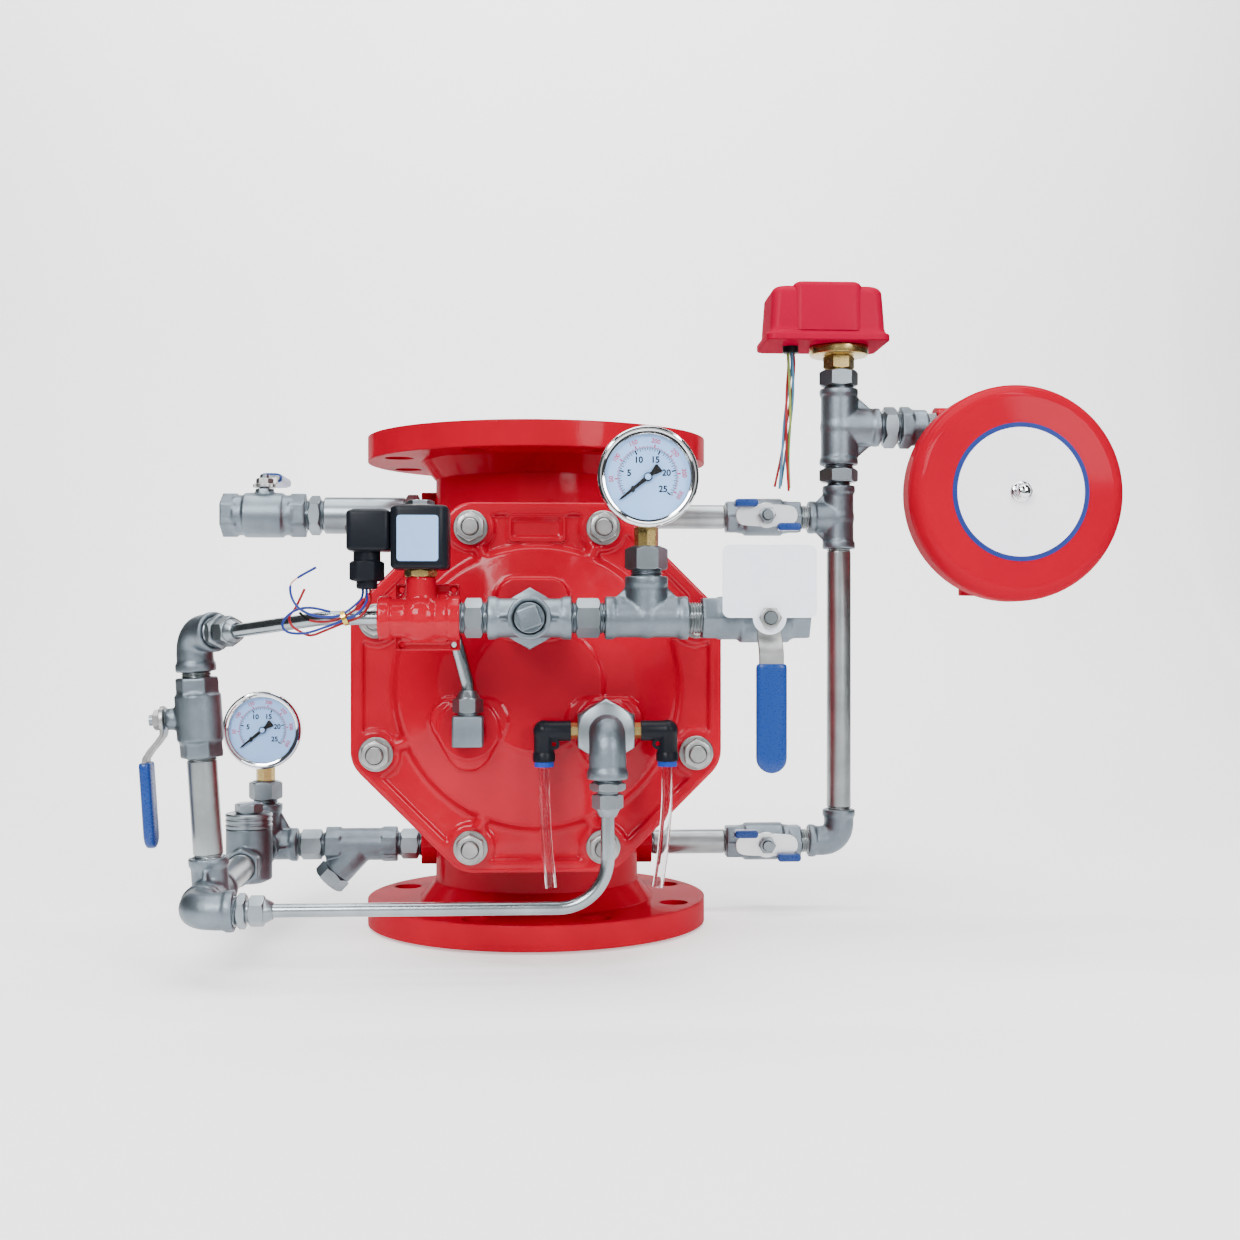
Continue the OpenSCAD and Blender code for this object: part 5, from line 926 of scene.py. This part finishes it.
def makeGauges(s):
    cases, dials, lenses = [], [], []
    for side, frameAt in gaugeFrames.items():
        spot = frameAt @ turn("x", 90)
        cases.append((placed(spot, turned(s["case"], 128)), "chrome"))
        sheet = [(0, 14.1), (27.95, 14.1), (27.95, s["face"]), (0, s["face"])]
        dials.append((placed(spot, turned(sheet, 96)), "dialWhite"))
        for k in range(2 * s["bar"] + 1):
            start = s["inner"][0] if k % 10 == 0 else s["inner"][1] if k % 2 == 0 else s["inner"][2]
            width = s["blackWidth"][0 if k % 10 == 0 else 1]
            dials.append((placed(spot, tick(s, k / 2, start, s["inner"][3], width)), "inkBlack"))
        for psi in range(0, 361, 10):
            long = psi % 50 == 0
            end, width = s["outer"][3 if long else 1], s["redWidth"][0 if long else 1]
            dials.append((placed(spot, tick(s, psi / s["psiPerBar"], s["outer"][0], end, width)), "inkRed"))
        dials.append((placed(spot, scaleArc(s, 19.2, 0.2)), "inkBlack"))
        dials.append((placed(spot, scaleArc(s, 19.8, 0.25)), "inkRed"))
        for bar in range(0, s["bar"] + 1, 5):
            dials.append((scaleNumber(s, spot, bar, str(bar), s["black"], s["blackDigits"], True), "inkBlack"))
        for psi in range(50, 351, 50):
            bar = psi / s["psiPerBar"]
            dials.append((scaleNumber(s, spot, bar, str(psi), s["red"], s["redDigits"], False), "inkRed"))
        lenses.append((placed(spot, turned(s["lens"], 96)), "lensGlass"))
        half = s["needle"]
        outline = half + [(x, -y) for x, y in reversed(half)]
        pointer = spot @ turn("z", s["zero"])
        needle = [(placed(pointer, slab(outline, 15.7, 16.4, 0.05)), "inkBlack"),
                  (placed(spot, turned(s["hub"], 32)), "inkBlack"), (placed(spot, turned(s["cap"], 32)), "dialWhite")]
        node = side + "_needle"
        makePiece(side + "Needle", needle, bodyOf[node], slots[node], (node,))
    makePiece("gaugeCases", cases, "valve", slots["gauge_cases"], ("gauge_cases",), 24)
    makePiece("gaugeDials", dials, "valve", slots["gauge_dials"], ("gauge_dials",))
    makePiece("gaugeLenses", lenses, "valve", slots["gauge_lenses"], ("gauge_lenses",))


makeGauges(gauge)

# Levers and wings: steel plates and chamfered stem nuts with thick dipped grips. A lever is (frame, length, rise,
# angle in degrees)
levers = {
    "manual_lever": (manualFrame, 101, 10, -90), "left_lever": (leftValveFrame, 92, 14, 180),
    "drain_lever": (drainFrame, 92, 10, 90),
}
grip = {
    "from": 30, "width": 20, "thick": 9, "neck": 24, "strip": 3, "power": 3.2, "stripWidth": 16, "foot": 12,
    "washer": [(0, 24), (9.6, 24), (10, 24.4), (10, 26.6), (9.6, 27), (0, 27)],
}


# Grip section: a superellipse |y / a|^n + |z / b|^n = 1, whose halves a and b follow the lever's length
def gripShape(s, length, rise):
    lip = s["from"] + np.array([0, 0.4, 1.4, 3])
    x = np.concatenate([lip, np.linspace(s["from"] + 6, length - 10, 8),
                        length - 10 + 10 * np.sin(np.linspace(0.15, 1, 12) * np.pi / 2)])
    end = np.clip((x - (length - 10)) / 10, 0, 1)
    round_ = np.sqrt(np.clip(1 - end ** 2, 0.0004, 1))
    mouth = np.interp(x, lip, [0.86, 0.93, 0.98, 1])
    half = s["width"] / 2 * mouth * round_
    thick = s["thick"] / 2 * mouth * round_ ** 0.45
    a = np.linspace(0, 2 * np.pi, 40, endpoint=False)
    cs, sn = np.cos(a), np.sin(a)
    y = half[:, None] * (np.sign(cs) * np.abs(cs) ** (2 / s["power"]))[None, :]
    z = thick[:, None] * (np.sign(sn) * np.abs(sn) ** (2 / s["power"]))[None, :]
    points = np.stack([np.repeat(x[:, None], 40, axis=1), y, z + s["neck"] + rise + s["strip"] / 2], -1)
    return capped(points, False)


# Steel strip: a foot, a slope and a run, its bends softened by steps of the slope angle
def stripShape(s, length, rise):
    foot, t, w = s["foot"], s["strip"], s["stripWidth"]
    mid = np.array([(-8, 0), (foot - 3, 0), (foot - 0.8, 0.5), (foot + rise * 0.3, rise * 0.32),
                    (foot + rise * 0.7, rise * 0.7), (foot + rise + 0.8, rise - 0.5), (foot + rise + 3, rise),
                    (length - 12, rise)], float)
    along = np.gradient(mid, axis=0)
    along /= np.linalg.norm(along, axis=1)[:, None]
    up = np.stack([-along[:, 1], along[:, 0]], -1)
    e = 0.4
    section = [(-w / 2, -t / 2 + e), (-w / 2 + e, -t / 2), (w / 2 - e, -t / 2), (w / 2, -t / 2 + e), (w / 2, t / 2 - e),
               (w / 2 - e, t / 2), (-w / 2 + e, t / 2), (-w / 2, t / 2 - e)]
    rings = []
    for (x, z), (ux, uz) in zip(mid, up):
        rings.append([(x + ux * h, y, s["neck"] + t / 2 + z + uz * h) for y, h in section])
    return capped(np.array(rings), False)


def stemNut(s, extra):
    top = s["neck"] + s["strip"] + extra
    stud = turned([(0, top - 1), (3.9, top - 1), (3.9, top + 5.6), (3.3, top + 6.2), (0, top + 6.2)], 32)
    return nut(13, top, top + 5, 3.9), stud


for node, (frameAt, length, rise, angle) in levers.items():
    spot = frameAt @ turn("z", angle)
    hexNut, stud = stemNut(grip, 1 if node == "manual_lever" else 0)
    parts = [(placed(spot, stripShape(grip, length, rise)), "zincPlain"), (placed(frameAt, hexNut), "zincPlain"),
             (placed(frameAt, turned(grip["washer"], 48)), "zincPlain"),
             (placed(frameAt, stud), "zincPlain"), (placed(spot, gripShape(grip, length, rise)), "gripBlue")]
    makePiece(camelName(node), parts, bodyOf[node], slots[node], (node,))

wing = {
    "plate": [(-27, 7.4), (-27, -7.8), (-10, -9.6), (10, -9.6), (27, -7.4), (27, 7.8), (10, 9.6), (-10, 9.6)],
    "washer": [(0, 24), (10.6, 24), (11, 24.4), (11, 26.7), (10.6, 27.1), (0, 27.1)],
    "tab": (20, 6.6, 22.6, 36, 2.6, 1.6), "tabAt": (-18.6, 10.3),
}


# Corners are rounded by cutting each side at a quarter and three quarters of its length, over and over
def softOutline(outline, rounds):
    p = np.array(outline, float)
    for _ in range(rounds):
        q = np.roll(p, -1, axis=0)
        p = np.stack([0.75 * p + 0.25 * q, 0.25 * p + 0.75 * q], axis=1).reshape(-1, 2)
    return p


for node, frameAt in wingFrames.items():
    hexNut, stud = stemNut(grip, 0)
    parts = [(placed(frameAt, slab(softOutline(wing["plate"], 2), 24, 27, 0.4)), "wingSteel"),
             (placed(frameAt, turned(wing["washer"], 48)), "wingSteel"),
             (placed(frameAt, hexNut), "nutSteel"), (placed(frameAt, stud), "nutSteel")]
    for angle in (0, 180):
        spot = frameAt @ turn("z", angle) @ move(*wing["tabAt"], 0)
        parts.append((placed(spot, pillow(*wing["tab"])), "gripBlue"))
    makePiece(camelName(node), parts, bodyOf[node], slots[node], (node,))

# Blank sign plate behind the stem nut of the release valve
sign = {"width": 62, "height": 48, "corner": 5, "low": 27.0, "high": 28.0, "tab": 11}
plate = slab(roundedRing(sign["width"], sign["height"], sign["corner"], 0)[:, :2], sign["low"], sign["high"], 0.2)
tab = turned([(0, sign["low"]), (sign["tab"], sign["low"]), (sign["tab"], sign["high"]), (0, sign["high"])], 48)
makePiece("signPlate", [(placed(manualFrame @ move(0, sign["height"] / 2, 0), plate), "signWhite"),
                        (placed(manualFrame @ move(0, 0, -0.02), tab), "signWhite")],
          bodyOf["sign_plate"], slots["sign_plate"], ("sign_plate",))

# Strainer cap on the slanting branch, and the check valve's lid with two turned grooves
caps = {
    "branch": (-152, 60, 57), "slant": (-26, 0, -28), "spigot": [(0, 27), (8.8, 27), (8.8, 33), (0, 33)],
    "lid": [(0, 21), (14.6, 21), (14.6, 27), (18.2, 27), (18.75, 27.5), (18.75, 29.6), (18.0, 30.2), (18.0, 31.4),
            (18.75, 32), (18.75, 34), (18.0, 34.6), (18.0, 35.8), (18.75, 36.4), (18.75, 38), (17.9, 39), (0, 39)],
}
leg = aim(caps["branch"], caps["slant"])
makePiece("strainerCap", [(placed(leg, nut(26, 32, 44)), "nutSteel"),
                          (placed(leg, turned(caps["spigot"], 40)), "nutSteel")],
          "valve", slots["strainer_cap"], ("strainer_cap",))
makePiece("checkValveCap", [(placed(checkFrame, turned(caps["lid"], 72)), "turnedSteel"),
                            (placed(checkFrame, nut(20, 39, 47)), "nutSteel")],
          "valve", slots["check_valve_cap"], ("check_valve_cap",))

# Pressure switch: brass disc and hex, and the red box with its flared skirt, side columns and raised middle panel
switch = {
    "place": (252, 60, 494), "flange": (267, 60, 0),
    "skirt": [(106, 71, 7, 0), (108, 73, 8, 0.9), (108, 73, 8, 5.4), (107.2, 72.2, 8, 6.2), (104, 69, 8, 7.2),
              (101.6, 66.6, 8, 9), (100.4, 65.4, 8, 12), (100, 65, 8, 16)],
    "top": (97, 62), "topZ": 49, "round": 8, "panel": (63, 69, 9, 52, 9, 5, 3, (False, True)), "grommetAt": -28,
    "disc": [(0, 485.8), (24.6, 485.8), (25.6, 486.4), (26, 487.2), (26, 492.8), (25.4, 493.6), (24.6, 494), (0, 494)],
    "grommet": [(0, -6), (6.2, -6), (7, -5.2), (7, 0.5), (0, 0.5)],
}


def makeSwitch(s):
    flange = move(*s["flange"])
    brass = [(placed(flange, turned(s["disc"], 96)), "brass"), (placed(flange, nut(24, 474, 486)), "brass"),
             (placed(flange, threaded(10.65, 462, 475)), "brass")]
    makePiece("switchFlange", brass, "valve", slots["switch_flange"], ("switch_flange",))
    spot = move(*s["place"])
    w, d = s["top"]
    t = np.linspace(0, np.pi / 2, 8)
    body = [roundedRing(*row) for row in s["skirt"]]
    body += [roundedRing(w - 2 * s["round"] * (1 - math.cos(x)), d - 2 * s["round"] * (1 - math.cos(x)),
                         9 - 2 * (1 - math.cos(x)), s["topZ"] - s["round"] * (1 - math.sin(x))) for x in t]
    parts = [(placed(spot, capped(np.array(body), False)), "boxRed"), (placed(spot, pillow(*s["panel"])), "boxRed"),
             (placed(spot @ move(s["grommetAt"], 0, 0), turned(s["grommet"], 40)), "blackPlastic")]
    makePiece("switchCover", parts, "valve", slots["switch_cover"], ("switch_cover",))


makeSwitch(switch)

# Gong: a bell of one radius at its edge, the bare white disc with a blue ring, and a flanged nut
gong = {
    "radius": 89, "edge": 13, "rim": 27, "face": 63, "fall": 1.9, "wall": 2.5, "disc": 52.6, "ring": 56.6,
    "shaft": [(0, -88), (4, -88), (4, 71), (0, 71)], "spacer": [(4, 47), (6.5, 47), (6.5, 59.4), (4, 59.4)],
}


def bellProfile(s):
    t = np.linspace(0, np.pi / 2, 16)
    r, e, top, w = s["radius"], s["edge"], s["face"], s["wall"]
    low = top - s["fall"]
    outer = [(r - e + e * math.sin(x), low - e + e * math.cos(x)) for x in t]
    inner = [(r - e + (e - w) * math.sin(x), low - e + (e - w) * math.cos(x)) for x in t[::-1]]
    return [(4.2, top), (s["ring"] + 0.6, top), *outer, (r, s["rim"] + 0.8), (r - 0.8, s["rim"]),
            (r - w, s["rim"]), *inner, (4.2, top - w)]


def makeGong(s):
    spot = gongFrame @ turn("x", 90)
    makePiece("gongBell", [(placed(spot, turned(bellProfile(s), 160, closed=True)), "gongRed")], "valve",
              slots["gong_bell"], ("gong_bell",), 50)
    top = s["face"]
    white = [(4.3, top - 0.2), (s["disc"], top - 0.2), (s["disc"], top + 0.3), (4.3, top + 0.3)]
    blue = [(s["disc"], top - 0.2), (s["ring"], top - 0.2), (s["ring"] - 0.1, top + 0.32), (s["disc"], top + 0.32)]
    makePiece("gongDisc", [(placed(spot, turned(white, 128, closed=True)), "discWhite"),
                           (placed(spot, turned(blue, 128, closed=True)), "ringBlue")], "valve", slots["gong_bell"])
    flange = [(4, top + 0.3), (8.7, top + 0.3), (9, top + 0.7), (8.6, top + 1.5), (7, top + 2.6), (4, top + 2.8)]
    dome = [(0, top + 6.5), (4, top + 7), (5.9, top + 7.4), (5.6, top + 9), (4.4, top + 10.4), (2.4, top + 11.2),
            (0, top + 11.5)]
    parts = [(placed(spot, turned(flange, 64, closed=True)), "chrome"),
             (placed(spot, nut(13, top + 1.6, top + 8)), "chrome"), (placed(spot, turned(dome, 48)), "chrome"),
             (placed(spot, turned(s["shaft"], 40)), "zincPlain"),
             (placed(spot, turned(s["spacer"], 40, closed=True)), "zincPlain")]
    makePiece("gongBolt", parts, "valve", slots["gong_bolt"], ("gong_bolt",))


makeGong(gong)
dressNode("wire_tie", "goldTie")
print("detail pieces made")

# Floor and light
studio = {"floorZ": -0.0005, "halfWidth": 1.9, "front": -0.95, "turnAt": 1.1, "turnRadius": 0.9, "top": 1.9}


# The floor runs back and turns up in a quarter circle into a pale wall: one strip carried along X
def makeStudio(s):
    a = np.linspace(0, np.pi / 2, 24)
    r = s["turnRadius"]
    y = np.concatenate([[s["front"]], s["turnAt"] + r * np.sin(a), [s["turnAt"] + r]])
    z = np.concatenate([[0], r * (1 - np.cos(a)), [s["top"]]]) + s["floorZ"]
    x = np.array([-s["halfWidth"], s["halfWidth"]])
    points = np.stack(np.broadcast_arrays(x[None, :], y[:, None], z[:, None]), -1).reshape(-1, 3)
    mesh = bpy.data.meshes.new("studioFloor")
    mesh.from_pydata(points.tolist(), [], gridFaces(len(y), 2, closeColumns=False).tolist())
    mesh.polygons.foreach_set("use_smooth", np.ones(len(mesh.polygons), bool))
    material, tree, shader = newMaterial("paleFloor")
    slow = noiseField(tree, objectPoints(tree), 3, 2)
    tone = ramp(tree, slow, [(0.3, (0.88, 0.88, 0.88)), (0.7, (0.91, 0.91, 0.91))])
    tree.links.new(tone, shader.inputs["Base Color"])
    shader.inputs["Roughness"].default_value = 0.8
    shader.inputs["Emission Color"].default_value = (1, 1, 1, 1)
    shader.inputs["Emission Strength"].default_value = 0.6
    mesh.materials.append(material)
    floor = bpy.data.objects.new("studioFloor", mesh)
    bpy.context.scene.collection.objects.link(floor)


def areaLight(name, place, target, size, power, tone=(1, 1, 1)):
    lamp = bpy.data.lights.new(name, "AREA")
    lamp.shape = "RECTANGLE"
    lamp.size, lamp.size_y = size
    lamp.energy = power
    lamp.color = tone
    holder = bpy.data.objects.new(name, lamp)
    holder.location = place
    holder.rotation_euler = (Vector(target) - Vector(place)).to_track_quat("-Z", "Y").to_euler()
    bpy.context.scene.collection.objects.link(holder)


# Black cards stand outside the picture on both sides as (x, front, back), so that bare metal shows dark bands
# beside its highlights
cards = {"height": 1.3, "places": {"leftCard": (-1.15, -1.05, 1.45), "rightCard": (1.35, -1.05, 1.45)}}


def makeCards(s):
    material, tree, shader = newMaterial("blackCard")
    slow = noiseField(tree, objectPoints(tree), 5, 2)
    tone = ramp(tree, slow, [(0.3, (0.01, 0.01, 0.01)), (0.7, (0.02, 0.02, 0.02))])
    tree.links.new(tone, shader.inputs["Base Color"])
    shader.inputs["Roughness"].default_value = 0.9
    seen = tree.nodes.new("ShaderNodeLightPath")
    tree.links.new(spread(tree, seen.outputs["Is Camera Ray"], 1, 0, 0, 1), shader.inputs["Alpha"])
    for name, (x, front, back) in s["places"].items():
        corners = [(x, front, 0), (x, back, 0), (x, back, s["height"]), (x, front, s["height"])]
        mesh = bpy.data.meshes.new(name)
        mesh.from_pydata(corners, [], [(0, 1, 2, 3)])
        mesh.materials.append(material)
        card = bpy.data.objects.new(name, mesh)
        bpy.context.scene.collection.objects.link(card)


# A light is (name, place, target, size, power)
lights = [
    ("frontSoft", (-0.8, -2.0, 1.35), (0, 0, 0.25), (0.9, 0.9), 58),
    ("rightSoft", (1.3, -1.9, 1.0), (0.1, 0, 0.25), (0.7, 0.9), 34),
    ("frontFill", (0.1, -2.7, 0.55), (0, 0, 0.25), (2.4, 1.4), 9),
    ("topSoft", (0, -0.3, 1.9), (0, 0, 0.2), (1.8, 1.0), 34),
    ("rightSpark", (0.75, -0.95, 1.45), (0, -0.15, 0.25), (0.16, 0.5), 7),
    ("leftSpark", (-0.85, -0.9, 1.30), (0, -0.15, 0.25), (0.16, 0.5), 6),
    ("wallWash", (0, 0.7, 2.4), (0, 2.0, 0.9), (3.0, 0.8), 100),
]
makeStudio(studio)
makeCards(cards)
for name, place, target, size, power in lights:
    areaLight(name, place, target, size, power)

# The camera itself sees a pale surround from every side, though reflections see a dim one
surround = {"tone": (0.93, 0.95, 1.0, 1), "reflected": 0.06, "seen": 2.6}


def makeSurround(s):
    sky = bpy.data.worlds.new("studioWorld")
    sky.use_nodes = True
    tree = sky.node_tree
    backdrop = tree.nodes["Background"]
    backdrop.inputs["Color"].default_value = s["tone"]
    path = tree.nodes.new("ShaderNodeLightPath")
    level = spread(tree, path.outputs["Is Camera Ray"], s["reflected"], s["seen"], 0, 1)
    tree.links.new(level, backdrop.inputs["Strength"])
    bpy.context.scene.world = sky


makeSurround(surround)
print("studio lit")
